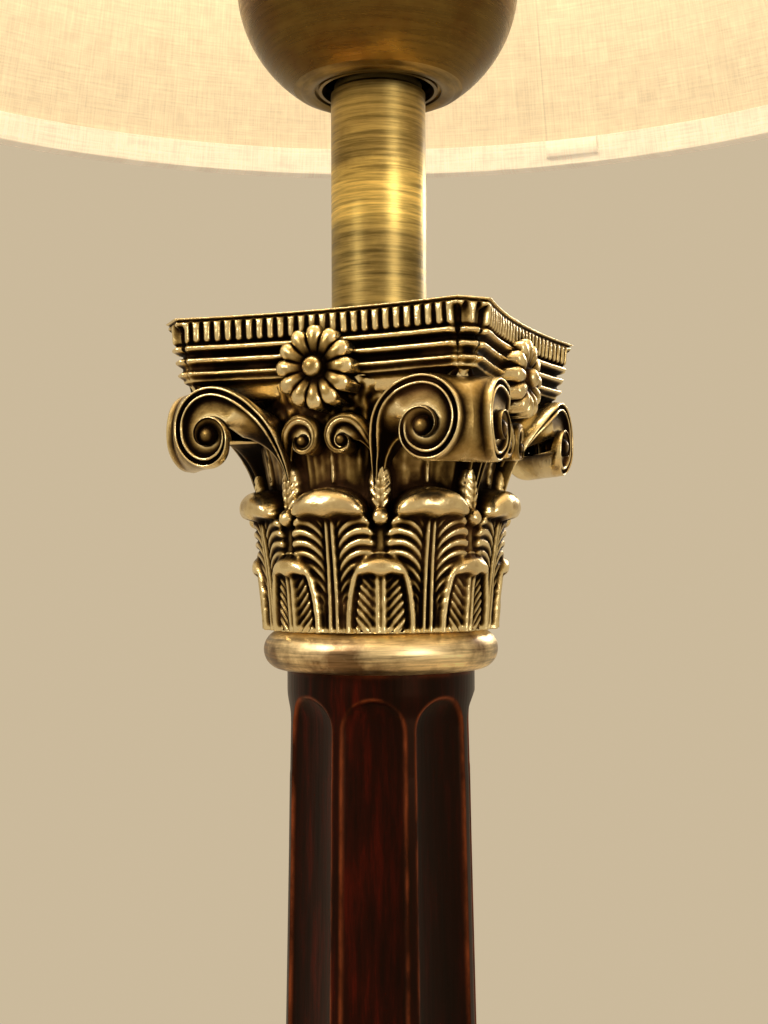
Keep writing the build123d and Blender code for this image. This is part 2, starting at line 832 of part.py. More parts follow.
# ---------------------------------------------------------------- socket and switch
def harp_saddle():
    """Flat strip under the socket with its two ends bent up for the harp."""
    arm_outer = saddle_half_span + saddle_thickness / 2
    arm_inner = saddle_half_span - saddle_thickness / 2
    section = make_face(
        Polyline(
            (-arm_outer, cover_top),
            (arm_outer, cover_top),
            (arm_outer, saddle_top + saddle_arm_height),
            (arm_inner, saddle_top + saddle_arm_height),
            (arm_inner, saddle_top),
            (-arm_inner, saddle_top),
            (-arm_inner, saddle_top + saddle_arm_height),
            (-arm_outer, saddle_top + saddle_arm_height),
            close=True,
        )
    )
    strip = extrude(Plane.XZ * section, saddle_arm_width / 2, both=True)
    strip += tube(cover_seat_radius, 0, cover_top, saddle_top)
    return strip - tube(rod_bore, 0, cover_top, saddle_top)


def socket_cap():
    """Cupped base of the lamp holder with its threaded hub."""
    hub = rod_radius + 2.0
    bore = rod_radius + running_clearance
    inner = cap_radius - cap_wall
    floor = socket_base + cap_wall
    knee = cap_radius * 0.6
    rim = socket_base + cap_height
    return turned(
        [
            (bore, socket_base),
            (knee, socket_base),
            (cap_radius, socket_base + cap_height * 0.45),
            (cap_radius, rim),
            (inner, rim),
            (inner, socket_base + cap_height * 0.45 + cap_wall / 2),
            (knee - cap_wall / 2, floor),
            (hub, floor),
            (hub, socket_base + cap_hub_height),
            (bore, socket_base + cap_hub_height),
        ]
    )


def socket_shell():
    """Outer brass shell, standing on the cap, with the hole for the switch spindle."""
    bottom = socket_base + cap_height
    body = tube(cap_radius, cap_radius - shell_wall, bottom, bottom + shell_height)
    return body - switch_axis * switch_hole()


def socket_liner():
    """Card insulator inside the shell."""
    outer = cap_radius - shell_wall - glue_gap
    bottom = socket_base + cap_height + glue_gap
    body = tube(outer, outer - liner_wall, bottom, bottom + shell_height - 2 * glue_gap)
    return body - switch_axis * switch_hole()


def switch_hole():
    """Clearance hole through shell and liner."""
    return Cylinder(spindle_radius + 4 * running_clearance, 2 * cap_radius, align=on_floor)


def socket_interior():
    """Moulded block that holds the contacts, drilled for the switch spindle."""
    middle = interior_base + interior_height / 2
    body = Pos(0, 0, middle) * Cylinder(interior_radius, interior_height)
    for side in (-1, 1):
        flat = Box(interior_radius, 2 * interior_radius, terminal_band)
        place = side * (terminal_flat + interior_radius / 2)
        body -= Pos(place, 0, middle) * flat
    hole = Cylinder(spindle_radius + running_clearance, interior_radius, align=on_floor)
    body -= switch_axis * Pos(0, 0, spindle_foot) * hole
    return body


def thread_shell():
    """Threaded sleeve that takes the bulb's base."""
    return tube(
        thread_shell_radius + thread_shell_wall,
        thread_shell_radius,
        interior_top,
        interior_top + thread_shell_height,
    )


def centre_contact():
    """Bent brass tongue in the middle of the socket."""
    leaf_length = thread_shell_radius
    foot = Box(leaf_length, contact_width, contact_thickness, align=on_floor)
    raised = Box(leaf_length / 3, contact_width, contact_rise, align=on_floor)
    return Pos(0, 0, interior_top) * (foot + raised)


def terminal_screws():
    """Two binding screws, one on each flat of the interior block."""
    middle = interior_base + interior_height / 2
    head = Cylinder(terminal_head_radius, terminal_head_height, align=on_floor)
    slot = Box(terminal_head_radius * 2, terminal_head_radius / 3, terminal_head_height)
    head -= Pos(0, 0, terminal_head_height) * slot
    right = Pos(terminal_flat, 0, middle) * Rot(0, 90, 0) * head
    return Compound([right, mirror(right, Plane.YZ)])


def switch_spindle():
    """Brass spindle from the interior out through the shell."""
    return switch_axis * Pos(0, 0, spindle_foot) * Cylinder(spindle_radius, spindle_length, align=on_floor)


def switch_knob():
    """Turn knob with two finger flats, pressed on the spindle's end."""
    start = spindle_foot + spindle_length
    body = Cylinder(knob_radius, knob_length, align=on_floor)
    body = fillet(body.edges().group_by(Axis.Z)[-1], knob_radius * 0.3)
    for side in (-1, 1):
        flat = Box(2 * knob_radius, knob_radius, knob_length * 0.7, align=on_floor)
        body -= Pos(0, side * (knob_wing + knob_radius / 2), knob_length * 0.3) * flat
    return switch_axis * Pos(0, 0, start) * body


# ---------------------------------------------------------------- harp, bulb, finial
def harp():
    """Bent wire loop round the bulb with the seat and stud for the shade on top."""
    leg_foot = saddle_top + saddle_arm_height
    leg_top = saddle_top + harp_leg_height
    wire_top = hub_bottom - turning_gap - harp_seat_thickness - harp_wire_radius / 2
    swell = harp_height * 0.3
    right = [
        (harp_seat_radius * 2, wire_top),
        (harp_half_width, wire_top - harp_height * 0.3),
        (harp_half_width, leg_top + swell),
        (saddle_half_span, leg_top),
        (saddle_half_span, leg_foot),
    ]
    left = [(-x, z) for x, z in reversed(right)]
    bends = [harp_leg_bend, harp_side_bend, harp_side_bend, harp_top_bend]
    path = FilletPolyline(*left, *right, radius=bends + bends[::-1])
    path = Plane.XZ * path
    wire = sweep(Pos(-saddle_half_span, 0, leg_foot) * Circle(harp_wire_radius), path=path)
    seat_top = hub_bottom - turning_gap
    seat = tube(harp_seat_radius, 0, seat_top - harp_seat_thickness, seat_top)
    stud = tube(stud_radius, 0, seat_top, seat_top + stud_length)
    return wire + seat + stud


def harp_sleeve(side):
    """Sleeve that locks one harp leg on its saddle arm."""
    bore = math.hypot(saddle_thickness / 2, saddle_arm_width / 2) + 0.15
    bottom = saddle_top + turning_gap
    sleeve = tube(bore + sleeve_wall, bore, bottom, bottom + sleeve_length)
    return Pos(side * saddle_half_span, 0, 0) * sleeve


def bulb_outline(inset):
    """Half section of the glass envelope from the base's top to the crown, moved in by inset."""
    neck = bulb_base_radius - 1.0 - inset
    foot = bulb_seat + bulb_base_height
    top = bulb_seat + bulb_length
    middle = top - bulb_radius
    radius = bulb_radius - inset
    crown = middle + radius
    curve = Spline((neck, foot), (radius, middle), tangents=[(0, 1), (0, 1)])
    curve += ThreePointArc(
        (radius, middle),
        (radius * math.sqrt(0.5), middle + radius * math.sqrt(0.5)),
        (0, crown),
    )
    curve += Polyline((0, crown), (0, foot), (neck, foot))
    return turned_face(make_face(curve))


def bulb_glass():
    return bulb_outline(0) - bulb_outline(bulb_glass_wall)


def bulb_base():
    """Screw cap of the bulb with its contact button."""
    knee = bulb_base_radius * 0.35
    return turned(
        [
            (0, bulb_seat),
            (knee, bulb_seat),
            (bulb_base_radius, bulb_seat + 4.0),
            (bulb_base_radius, bulb_seat + bulb_base_height),
            (0, bulb_seat + bulb_base_height),
        ]
    )


def bulb_filament():
    """Glass stem with a light-giving ring on two wires."""
    foot = bulb_seat + bulb_base_height
    middle = bulb_seat + bulb_length - bulb_radius
    stem = turned([(0, foot), (filament_stem, foot), (filament_stem / 2, middle), (0, middle)])
    ring = Pos(0, 0, middle) * Torus(filament_ring, filament_wire)
    cross_wire = Pos(0, 0, middle) * Rot(0, 90, 0) * Cylinder(filament_wire, 2 * filament_ring)
    return stem + ring + cross_wire


def finial():
    """Turned brass knob that screws down on the harp's stud."""
    bottom = hub_bottom + hub_thickness + turning_gap
    bore = stud_radius + running_clearance
    neck = finial_radius * 0.6
    foot_top = bottom + finial_height * 0.1
    neck_top = bottom + finial_height * 0.3
    knob_top = bottom + finial_height * 0.84
    tip = bottom + finial_height
    outline = Polyline((bore, bottom), (finial_radius, bottom), (finial_radius, foot_top))
    outline += Line((finial_radius, foot_top), (neck, neck_top))
    outline += ThreePointArc(
        (neck, neck_top),
        (finial_radius * 0.95, (neck_top + knob_top) / 2),
        (neck * 0.7, knob_top),
    )
    outline += ThreePointArc(
        (neck * 0.7, knob_top),
        (neck * 0.6, tip - finial_height * 0.05),
        (neck * 0.1, tip),
    )
    outline += Polyline(
        (neck * 0.1, tip),
        (0, tip),
        (0, bottom + stud_length),
        (bore, bottom + stud_length),
        (bore, bottom),
    )
    return turned_face(make_face(outline))


# ---------------------------------------------------------------- shade
def cone_radius(level, inward):
    """Radius of the shade's cone at a height, moved in square to the cloth."""
    outside = shade_bottom_radius - (level - shade_rim) * shade_slope
    return outside - inward * math.hypot(1, shade_slope)


def shade_cover():
    """Laminated fabric cone."""
    low = shade_rim + hem_thickness + glue_gap
    high = shade_top - hem_thickness - glue_gap
    return turned(
        [
            (cone_radius(low, 0), low),
            (cone_radius(high, 0), high),
            (cone_radius(high, shade_cloth), high),
            (cone_radius(low, shade_cloth), low),
        ]
    )


def wire_place(level):
    """Centre radius of a rim wire that lies inside the cloth."""
    return cone_radius(level, shade_cloth + glue_gap + ring_wire_radius)


def shade_hem(edge, side):
    """Folded trim over one edge of the cloth and its wire, side +1 for the lower edge."""
    outer = -glue_gap - hem_thickness / 2
    inner = shade_cloth + 2 * glue_gap + 2 * ring_wire_radius + hem_thickness / 2
    near = edge + side * hem_thickness / 2
    far = edge + side * hem_depth
    fold = FilletPolyline(
        (cone_radius(far, outer), far),
        (cone_radius(near, outer), near),
        (cone_radius(near, inner), near),
        (cone_radius(far, inner), far),
        radius=hem_thickness * 0.6,
    )
    return turned_face(trace(fold, hem_thickness))


def shade_hem_top():
    """Upper trim, notched on the inside where the spider's arms pass."""
    outer = wire_place(top_wire_level)
    notch = Box(notch_length, notch_width, hem_depth)
    middle = top_wire_level + spider_wire_radius + glue_gap - hem_depth / 2
    notch = Pos(outer - notch_length / 2, 0, middle) * notch
    hem = shade_hem(shade_top, -1)
    for cut in around(notch, spider_arm_count, spider_turn):
        hem -= cut
    return hem


def shade_ring(level):
    """Wire ring just inside the cloth."""
    return Pos(0, 0, level) * Torus(wire_place(level), ring_wire_radius)


def shade_spider():
    """Hub washer with three wire arms that rise to the inside of the top ring."""
    hub = tube(hub_radius, stud_radius + hub_hole_clearance, hub_bottom, hub_bottom + hub_thickness)
    arm_level = hub_bottom + hub_thickness / 2
    ring = Vector(wire_place(top_wire_level), top_wire_level)
    shoulder = Vector(ring.X - ring_wire_radius - hem_thickness - spider_shoulder, arm_level)
    end = ring - (ring - shoulder).normalized() * (ring_wire_radius + glue_gap)
    path = Plane.XZ * FilletPolyline(
        (hub_radius - spider_wire_radius, arm_level),
        (shoulder.X, shoulder.Y),
        (end.X, end.Y),
        radius=spider_bend,
    )
    arm = sweep(Plane(origin=path @ 0, z_dir=path % 0) * Circle(spider_wire_radius), path=path)
    return hub + around(arm, spider_arm_count, spider_turn)


os.makedirs("parts", exist_ok=True)
save("felt_pad", felt_pad())
save("plinth_lower", plinth_lower())
save("plinth_middle", step(middle_step_width, lower_step_top, middle_step_top))
save("plinth_upper", step(upper_step_width, middle_step_top, upper_step_top))
save("base_weight", base_weight())
save("rod_washer", rod_washer())
save("rod_nut", rod_nut())
save("tie_rod", tie_rod())
save("cord_bushing", cord_bushing())
save("attic_base", attic_base())
save("column_shaft", column_shaft())
save("astragal_ring", astragal_ring())
save("capital", capital())
save("abacus", abacus())
save("neck_tube", neck_tube())
save("riser", riser())
save("bowl", bowl())
save("bowl_collar", bowl_collar())
save("bowl_cover", bowl_cover())
save("harp_saddle", harp_saddle())
save("socket_cap", socket_cap())
save("socket_shell", socket_shell())
save("socket_liner", socket_liner())
save("socket_interior", socket_interior())
save("thread_shell", thread_shell())
save("centre_contact", centre_contact())
save("terminal_screws", terminal_screws())
save("switch_spindle", switch_spindle())
save("switch_knob", switch_knob())
save("harp", harp())
save("harp_sleeve_left", harp_sleeve(-1))
save("harp_sleeve_right", harp_sleeve(1))
save("bulb_base", bulb_base())
save("bulb_glass", bulb_glass())
save("bulb_filament", bulb_filament())
save("shade_cover", shade_cover())
save("shade_hem_bottom", shade_hem(shade_rim, 1))
save("shade_hem_top", shade_hem_top())
save("shade_ring_bottom", shade_ring(bottom_wire_level))
save("shade_ring_top", shade_ring(top_wire_level))
save("shade_spider", shade_spider())
save("finial", finial())
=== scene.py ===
import math

import bpy
import numpy as np
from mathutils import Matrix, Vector


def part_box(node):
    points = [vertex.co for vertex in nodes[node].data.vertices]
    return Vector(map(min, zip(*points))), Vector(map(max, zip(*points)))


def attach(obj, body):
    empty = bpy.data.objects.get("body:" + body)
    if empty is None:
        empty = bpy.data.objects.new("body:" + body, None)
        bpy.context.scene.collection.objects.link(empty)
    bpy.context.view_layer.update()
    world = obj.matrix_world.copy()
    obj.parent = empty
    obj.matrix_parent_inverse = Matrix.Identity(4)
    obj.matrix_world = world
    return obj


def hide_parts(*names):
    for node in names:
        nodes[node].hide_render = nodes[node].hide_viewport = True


# A column table lamp. The lamp's own frame is in metres, +Z up, and the front face is -Y.
# Shapes are drawn in millimetres. Materials, lights and the camera are in metres.
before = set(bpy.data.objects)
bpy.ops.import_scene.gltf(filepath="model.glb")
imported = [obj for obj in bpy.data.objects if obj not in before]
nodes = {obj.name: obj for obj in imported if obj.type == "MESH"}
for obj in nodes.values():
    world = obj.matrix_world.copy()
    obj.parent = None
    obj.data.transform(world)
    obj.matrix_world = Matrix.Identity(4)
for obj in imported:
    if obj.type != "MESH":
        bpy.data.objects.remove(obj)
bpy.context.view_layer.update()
MM = 0.001

capital_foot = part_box("capital")[0].z / MM
abacus_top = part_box("neck_tube")[0].z / MM - capital_foot     # above the capital's foot


# ---------------------------------------------------------------- number helpers
def smooth(x):
    x = np.clip(x, 0.0, 1.0)
    return x * x * (3.0 - 2.0 * x)


def value_noise(u, v, cell, seed, wrap=None):
    """Smooth noise from 0 to 1 on a lattice of that cell size. wrap is the period of u."""
    lattice = 128
    table = np.random.RandomState(seed).rand(lattice, lattice)
    a, b = u / cell, v / cell
    ia, ib = np.floor(a).astype(int), np.floor(b).astype(int)
    fa, fb = smooth(a - ia), smooth(b - ib)
    period = lattice if wrap is None else max(1, int(round(wrap / cell)))
    i0, i1 = (ia % period) % lattice, ((ia + 1) % period) % lattice
    j0, j1 = ib % lattice, (ib + 1) % lattice
    low = table[i0, j0] * (1 - fa) + table[i1, j0] * fa
    high = table[i0, j1] * (1 - fa) + table[i1, j1] * fa
    return low * (1 - fb) + high * fb


def dome(x):
    """Round profile, 1 at x = 0 and 0 at |x| = 1 and beyond."""
    return np.sqrt(np.clip(1.0 - x * x, 0.0, 1.0))


def ridge(x, half):
    """Round ridge of that half width."""
    return dome(x / half)


def soften(field):
    """Small blur along both directions of a grid. Columns are axis 0 and close on themselves."""
    field = 0.5 * field + 0.25 * (np.roll(field, 1, 0) + np.roll(field, -1, 0))
    down = np.hstack([field[:, :1], field[:, :-1]])
    up = np.hstack([field[:, 1:], field[:, -1:]])
    return 0.5 * field + 0.25 * (down + up)


# ---------------------------------------------------------------- mesh helpers
def grid_faces(columns, rows, wrap, first=0):
    """Quads between neighbouring grid points. Columns run along axis 0."""
    count = columns if wrap else columns - 1
    i = np.arange(count)[:, None]
    j = np.arange(rows - 1)[None, :]
    k = (i + 1) % columns
    quads = np.stack([i * rows + j, k * rows + j, k * rows + j + 1, i * rows + j + 1], -1)
    return quads.reshape(-1, 4) + first


def closed_faces(columns, rows):
    """Quads of a grid that closes on itself both ways."""
    first = np.arange(columns) * rows
    after = np.roll(first, -1)
    closing = np.stack([first + rows - 1, after + rows - 1, after, first], -1)
    return np.vstack([grid_faces(columns, rows, True), closing])


def circle(radius, angles, level):
    """Points of a level circle, from the front towards +X."""
    return np.stack([radius * np.sin(angles), -radius * np.cos(angles),
                     np.full(len(angles), level)], -1)


def make_object(name, points, faces, material, body="root"):
    """A piece of the lamp from points in millimetres, riding on a CAD body."""
    mesh = bpy.data.meshes.new(name)
    mesh.from_pydata((points * MM).tolist(), [], [list(f) for f in faces])
    mesh.update()
    mesh.polygons.foreach_set("use_smooth", [True] * len(mesh.polygons))
    obj = bpy.data.objects.new(name, mesh)
    bpy.context.scene.collection.objects.link(obj)
    mesh.materials.append(material)
    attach(obj, body)
    return obj


def add_values(obj, name, values):
    """A number on each vertex, for the materials."""
    layer = obj.data.attributes.new(name, "FLOAT", "POINT")
    layer.data.foreach_set("value", np.asarray(values, np.float32).ravel())


def mark_relief(obj):
    """Stores how far each point stands out of the softened surface round it, in millimetres."""
    rounds, pull = 26, 0.6
    mesh = obj.data
    count = len(mesh.vertices)
    points = np.empty(count * 3)
    mesh.vertices.foreach_get("co", points)
    points = points.reshape(-1, 3) / MM
    normals = np.empty(count * 3, np.float32)
    mesh.vertices.foreach_get("normal", normals)
    normals = normals.reshape(-1, 3)
    edges = np.empty(len(mesh.edges) * 2, np.int32)
    mesh.edges.foreach_get("vertices", edges)
    a, b = edges[0::2], edges[1::2]
    degree = np.maximum(np.bincount(a, minlength=count) + np.bincount(b, minlength=count), 1)
    soft = points.copy()
    for _ in range(rounds):
        around = np.stack([np.bincount(a, soft[b, k], count) + np.bincount(b, soft[a, k], count)
                           for k in range(3)], 1)
        soft = (1 - pull) * soft + pull * around / degree[:, None]
    add_values(obj, "relief", ((points - soft) * normals).sum(1))


def turn(points, degrees):
    """Points turned about the Z axis, from the front towards +X."""
    a = math.radians(degrees)
    x = points[:, 0] * math.cos(a) - points[:, 1] * math.sin(a)
    y = points[:, 0] * math.sin(a) + points[:, 1] * math.cos(a)
    return np.stack([x, y, points[:, 2]], 1)


def gather(parts):
    """One point array and one face list from several (points, quads) pairs."""
    points, faces, total = [], [], 0
    for p, f in parts:
        points.append(p)
        faces.append(np.asarray(f) + total)
        total += len(p)
    return np.vstack(points), np.vstack(faces)


# ---------------------------------------------------------------- materials
def new_material(name):
    material = bpy.data.materials.new(name)
    material.use_nodes = True
    tree = material.node_tree
    return material, tree, tree.nodes["Principled BSDF"]


def node(tree, kind, values=None, **settings):
    made = tree.nodes.new(kind)
    for key, value in settings.items():
        setattr(made, key, value)
    for key, value in (values or {}).items():
        made.inputs[key].default_value = value
    return made


def ramp(tree, source, stops):
    """A colour ramp. A stop is a place and a colour, or a place and one number."""
    made = tree.nodes.new("ShaderNodeValToRGB")
    elements = made.color_ramp.elements
    while len(elements) < len(stops):
        elements.new(0.5)
    for element, (place, colour) in zip(elements, stops):
        element.position = place
        if not hasattr(colour, "__len__"):
            colour = (colour, colour, colour)
        element.color = (*colour, 1.0)
    tree.links.new(source, made.inputs["Fac"])
    return made.outputs["Color"]


# The Mix node has a set of sockets for each data type. These are the colour ones.
MIX_FACTOR, MIX_A, MIX_B, MIX_RESULT = 0, 6, 7, 2


def mix(tree, factor, a, b, mode="MIX"):
    made = tree.nodes.new("ShaderNodeMix")
    made.data_type = "RGBA"
    made.blend_type = mode
    for number, value in ((MIX_FACTOR, factor), (MIX_A, a), (MIX_B, b)):
        socket = made.inputs[number]
        if hasattr(value, "links"):
            tree.links.new(value, socket)
        elif hasattr(value, "__len__"):
            socket.default_value = (*value, 1.0)
        else:
            socket.default_value = value
    return made.outputs[MIX_RESULT]


def math_node(tree, operation, a, b=0.0, clamp=False):
    made = tree.nodes.new("ShaderNodeMath")
    made.operation = operation
    made.use_clamp = clamp
    for socket, value in ((made.inputs[0], a), (made.inputs[1], b)):
        if hasattr(value, "links"):
            tree.links.new(value, socket)
        else:
            socket.default_value = value
    return made.outputs[0]


def weighted_sum(tree, *terms):
    """The sum of (source, weight) pairs."""
    total = None
    for source, weight in terms:
        part = math_node(tree, "MULTIPLY", source, weight)
        total = part if total is None else math_node(tree, "ADD", total, part)
    return total


def object_place(tree, scale=(1.0, 1.0, 1.0)):
    """Object coordinates, stretched."""
    place = tree.nodes.new("ShaderNodeTexCoord")
    mapping = node(tree, "ShaderNodeMapping", {"Scale": scale})
    tree.links.new(place.outputs["Object"], mapping.inputs["Vector"])
    return mapping.outputs["Vector"]


def object_axes(tree):
    """Object coordinates as X, Y and Z outputs."""
    place = tree.nodes.new("ShaderNodeTexCoord")
    parts = node(tree, "ShaderNodeSeparateXYZ")
    tree.links.new(place.outputs["Object"], parts.inputs[0])
    return parts.outputs


def noise_node(tree, vector, scale, detail=4.0, roughness=0.55):
    made = node(tree, "ShaderNodeTexNoise",
                {"Scale": scale, "Detail": detail, "Roughness": roughness})
    tree.links.new(vector, made.inputs["Vector"])
    return made.outputs["Fac"]


def add_bump(tree, shader, height, distance, strength=1.0):
    made = node(tree, "ShaderNodeBump", {"Distance": distance, "Strength": strength})
    tree.links.new(height, made.inputs["Height"])
    tree.links.new(made.outputs["Normal"], shader.inputs["Normal"])


def antique_brass(name, hollow=0.004):
    """Cast brass: near-black in its hollows from dark patina and painted shade, olive-brown on
    flats, and pale gold on its ridges from wear and a painted highlight.
    """
    material, tree, shader = new_material(name)
    place = object_place(tree)
    # Painted shade: two occlusion masks darken the hollows and the recesses under and between the
    # parts, on top of the patina there. Painted highlight: how far a point stands out lightens the
    # ridges, on top of their wear.
    crevice_patina_and_shade = node(tree, "ShaderNodeAmbientOcclusion", {"Distance": hollow}, samples=8)
    recess_patina_and_shade = node(tree, "ShaderNodeAmbientOcclusion", {"Distance": 0.016}, samples=8)
    ridge_wear_and_highlight = node(tree, "ShaderNodeAttribute", attribute_name="relief")
    blotch = noise_node(tree, place, 60.0, 5.0, 0.62)
    grit = noise_node(tree, place, 420.0, 4.0, 0.7)
    wear_and_painted_light = weighted_sum(tree, (ridge_wear_and_highlight.outputs["Fac"], 1.5), (crevice_patina_and_shade.outputs["AO"], 0.75),
                        (recess_patina_and_shade.outputs["AO"], 0.22), (blotch, 0.50), (grit, 0.30))
    wear_and_painted_light = math_node(tree, "SUBTRACT", wear_and_painted_light, 0.74, clamp=True)
    colour = ramp(tree, wear_and_painted_light, [(0.14, (0.006, 0.003, 0.0015)), (0.38, (0.045, 0.025, 0.008)),
                               (0.55, (0.165, 0.105, 0.032)), (0.74, (0.42, 0.30, 0.115)),
                               (0.90, (0.86, 0.71, 0.40))])
    patches = ramp(tree, blotch, [(0.50, 0.0), (0.68, 0.35)])
    colour = mix(tree, patches, colour, (0.16, 0.075, 0.032))
    tree.links.new(colour, shader.inputs["Base Color"])
    shader.inputs["Metallic"].default_value = 1.0
    rough = ramp(tree, wear_and_painted_light, [(0.2, 0.72), (0.5, 0.42), (0.85, 0.26)])
    tree.links.new(rough, shader.inputs["Roughness"])
    add_bump(tree, shader, grit, 0.00016)
    return material


def turned_brass(name, colour, brown, scale=(6, 6, 900), rough=0.3, patch=0.4,
                 band=None, contrast=1.0):
    """Brass with scratches that run round it and soft brown tarnish. A band between two
    heights can be rubbed brighter."""
    material, tree, shader = new_material(name)
    scratches = noise_node(tree, object_place(tree, scale), 1.0, 6.0, 0.7)
    blotch = noise_node(tree, object_place(tree), 60.0, 6.0, 0.62)
    streak = noise_node(tree, object_place(tree, (55, 55, 1100)), 1.0, 5.0, 0.65)
    tarnish = ramp(tree, blotch, [(0.44, 0.0), (0.62, patch)])
    tone = mix(tree, tarnish, colour, brown)
    lines = ramp(tree, streak, [(0.36, 1 - 0.52 * contrast), (0.50, 0.92),
                                (0.64, 1 + 0.35 * contrast)])
    tone = mix(tree, 1.0, tone, lines, "MULTIPLY")
    if band:
        low, high = band
        middle, half = (low + high) / 2, (high - low) / 2
        wander, rubbed = 0.010, (0.80, 0.60, 0.19)
        waver = math_node(tree, "MULTIPLY_ADD", blotch, wander)
        waver.node.inputs[2].default_value = -wander / 2
        level = math_node(tree, "ADD", object_axes(tree)["Z"], waver)
        away = math_node(tree, "ABSOLUTE", math_node(tree, "SUBTRACT", level, middle))
        share = ramp(tree, math_node(tree, "DIVIDE", away, 2 * half), [(0.30, 0.8), (0.62, 0.0)])
        tone = mix(tree, share, tone, mix(tree, 1.0, rubbed, lines, "MULTIPLY"))
    tree.links.new(tone, shader.inputs["Base Color"])
    shader.inputs["Metallic"].default_value = 1.0
    roughness = ramp(tree, streak, [(0.3, rough), (0.7, rough + 0.16)])
    tree.links.new(roughness, shader.inputs["Roughness"])
    add_bump(tree, shader, scratches, 0.00002)
    return material


def mahogany(name, worn_and_lit_edges=False):
    """Dark red-brown wood under gloss lacquer, with streaks along the grain."""
    material, tree, shader = new_material(name)
    grain = noise_node(tree, object_place(tree, (420, 420, 42)), 1.0, 5.0, 0.62)
    broad = noise_node(tree, object_place(tree, (70, 70, 5)), 1.0, 3.0, 0.5)
    pores = noise_node(tree, object_place(tree, (900, 900, 40)), 1.0, 2.0, 0.5)
    tone = ramp(tree, grain, [(0.36, (0.0035, 0.0007, 0.0005)), (0.52, (0.013, 0.0014, 0.0008)),
                              (0.69, (0.045, 0.0030, 0.0012))])
    veil = ramp(tree, broad, [(0.36, 0.30), (0.62, 1.15)])
    tone = mix(tree, 1.0, tone, veil, "MULTIPLY")
    if worn_and_lit_edges:
        # The marked edges turn orange-brown from lacquer rubbed through, and also from a painted
        # highlight where the edges catch the light.
        edge = node(tree, "ShaderNodeAttribute", attribute_name="wear_and_painted_light")
        rub = noise_node(tree, object_place(tree, (150, 150, 60)), 1.0, 5.0, 0.6)
        rubbed = ramp(tree, rub, [(0.38, 0.1), (0.6, 1.0)])
        share = math_node(tree, "MULTIPLY", edge.outputs["Fac"], rubbed)
        tone = mix(tree, share, tone, (0.20, 0.045, 0.014))
    tree.links.new(tone, shader.inputs["Base Color"])
    shader.inputs["Roughness"].default_value = 0.34
    shader.inputs["Specular IOR Level"].default_value = 0.13
    shader.inputs["Specular Tint"].default_value = (1.0, 0.50, 0.30, 1.0)
    shader.inputs["Coat Weight"].default_value = 0.02
    shader.inputs["Coat Roughness"].default_value = 0.15
    add_bump(tree, shader, pores, 0.00005)
    return material


def plain_metal(name, colour, rough, stretch=(200, 200, 200), depth=0.00001):
    """Clean metal with a fine grain, dulled a little in patches."""
    material, tree, shader = new_material(name)
    fine = noise_node(tree, object_place(tree, stretch), 1.0, 4.0, 0.6)
    tone = ramp(tree, fine, [(0.3, [c * 0.82 for c in colour]), (0.7, colour)])
    tree.links.new(tone, shader.inputs["Base Color"])
    shader.inputs["Metallic"].default_value = 1.0
    tree.links.new(ramp(tree, fine, [(0.3, rough), (0.7, rough + 0.12)]),
                   shader.inputs["Roughness"])
    add_bump(tree, shader, fine, depth)
    return material


def plain_solid(name, colour, rough, scale, depth, spread=0.8):
    """A plain surface that isn't metal. spread is how dark its grain gets."""
    material, tree, shader = new_material(name)
    fine = noise_node(tree, object_place(tree), scale, 4.0, 0.6)
    tone = ramp(tree, fine, [(0.3, [c * spread for c in colour]), (0.7, colour)])
    tree.links.new(tone, shader.inputs["Base Color"])
    shader.inputs["Roughness"].default_value = rough
    add_bump(tree, shader, fine, depth)
    return material


def linen(name, colour, painted_glow, seam_angle=None):
    """Slubby woven cloth, lit from inside by lamps and also given a painted glow of its own:
    threads run up the cone and round it.
    """
    material, tree, shader = new_material(name)
    axes = object_axes(tree)
    angle = math_node(tree, "ARCTAN2", axes["Y"], axes["X"])
    mean_radius = 0.2
    sheet = node(tree, "ShaderNodeCombineXYZ")
    tree.links.new(math_node(tree, "MULTIPLY", angle, mean_radius), sheet.inputs["X"])
    tree.links.new(axes["Z"], sheet.inputs["Y"])

    def threads(scale):
        mapping = node(tree, "ShaderNodeMapping", {"Scale": scale})
        tree.links.new(sheet.outputs[0], mapping.inputs["Vector"])
        return noise_node(tree, mapping.outputs["Vector"], 1.0, 3.0, 0.6)

    fine, long = 1500, 60
    weft = threads((long, fine, 1))
    warp = threads((fine, long, 1))
    slub = threads((160, 160, 1))
    weave = math_node(tree, "ADD", weft, warp)
    dark = [c * 0.80 for c in colour]
    tone = ramp(tree, math_node(tree, "MULTIPLY", weave, 0.5), [(0.36, dark), (0.62, colour)])
    thick = ramp(tree, slub, [(0.3, 0.92), (0.7, 1.06)])
    tone = mix(tree, 1.0, tone, thick, "MULTIPLY")
    if seam_angle is not None:
        # A thin dark line and a wider doubled strip beside it, over a tenth of a radian.
        turned = math_node(tree, "SUBTRACT", angle, math.radians(seam_angle))
        across = math_node(tree, "ADD", math_node(tree, "MULTIPLY", turned, 10.0), 0.5, clamp=True)
        line = ramp(tree, across, [(0.0, 1.0), (0.46, 1.0), (0.485, 0.80), (0.51, 1.06),
                                   (0.56, 0.95), (0.97, 0.95), (1.0, 1.0)])
        tone = mix(tree, 1.0, tone, line, "MULTIPLY")
    tree.links.new(tone, shader.inputs["Base Color"])
    shader.inputs["Roughness"].default_value = 0.85
    shader.inputs["Sheen Weight"].default_value = 0.25
    shader.inputs["Sheen Roughness"].default_value = 0.5
    # Painted light: the cloth glows in its own colour, standing in for the bulb's light shining
    # through it.
    tree.links.new(tone, shader.inputs["Emission Color"])
    shader.inputs["Emission Strength"].default_value = painted_glow
    add_bump(tree, shader, weave, 0.00025, 0.6)
    return material


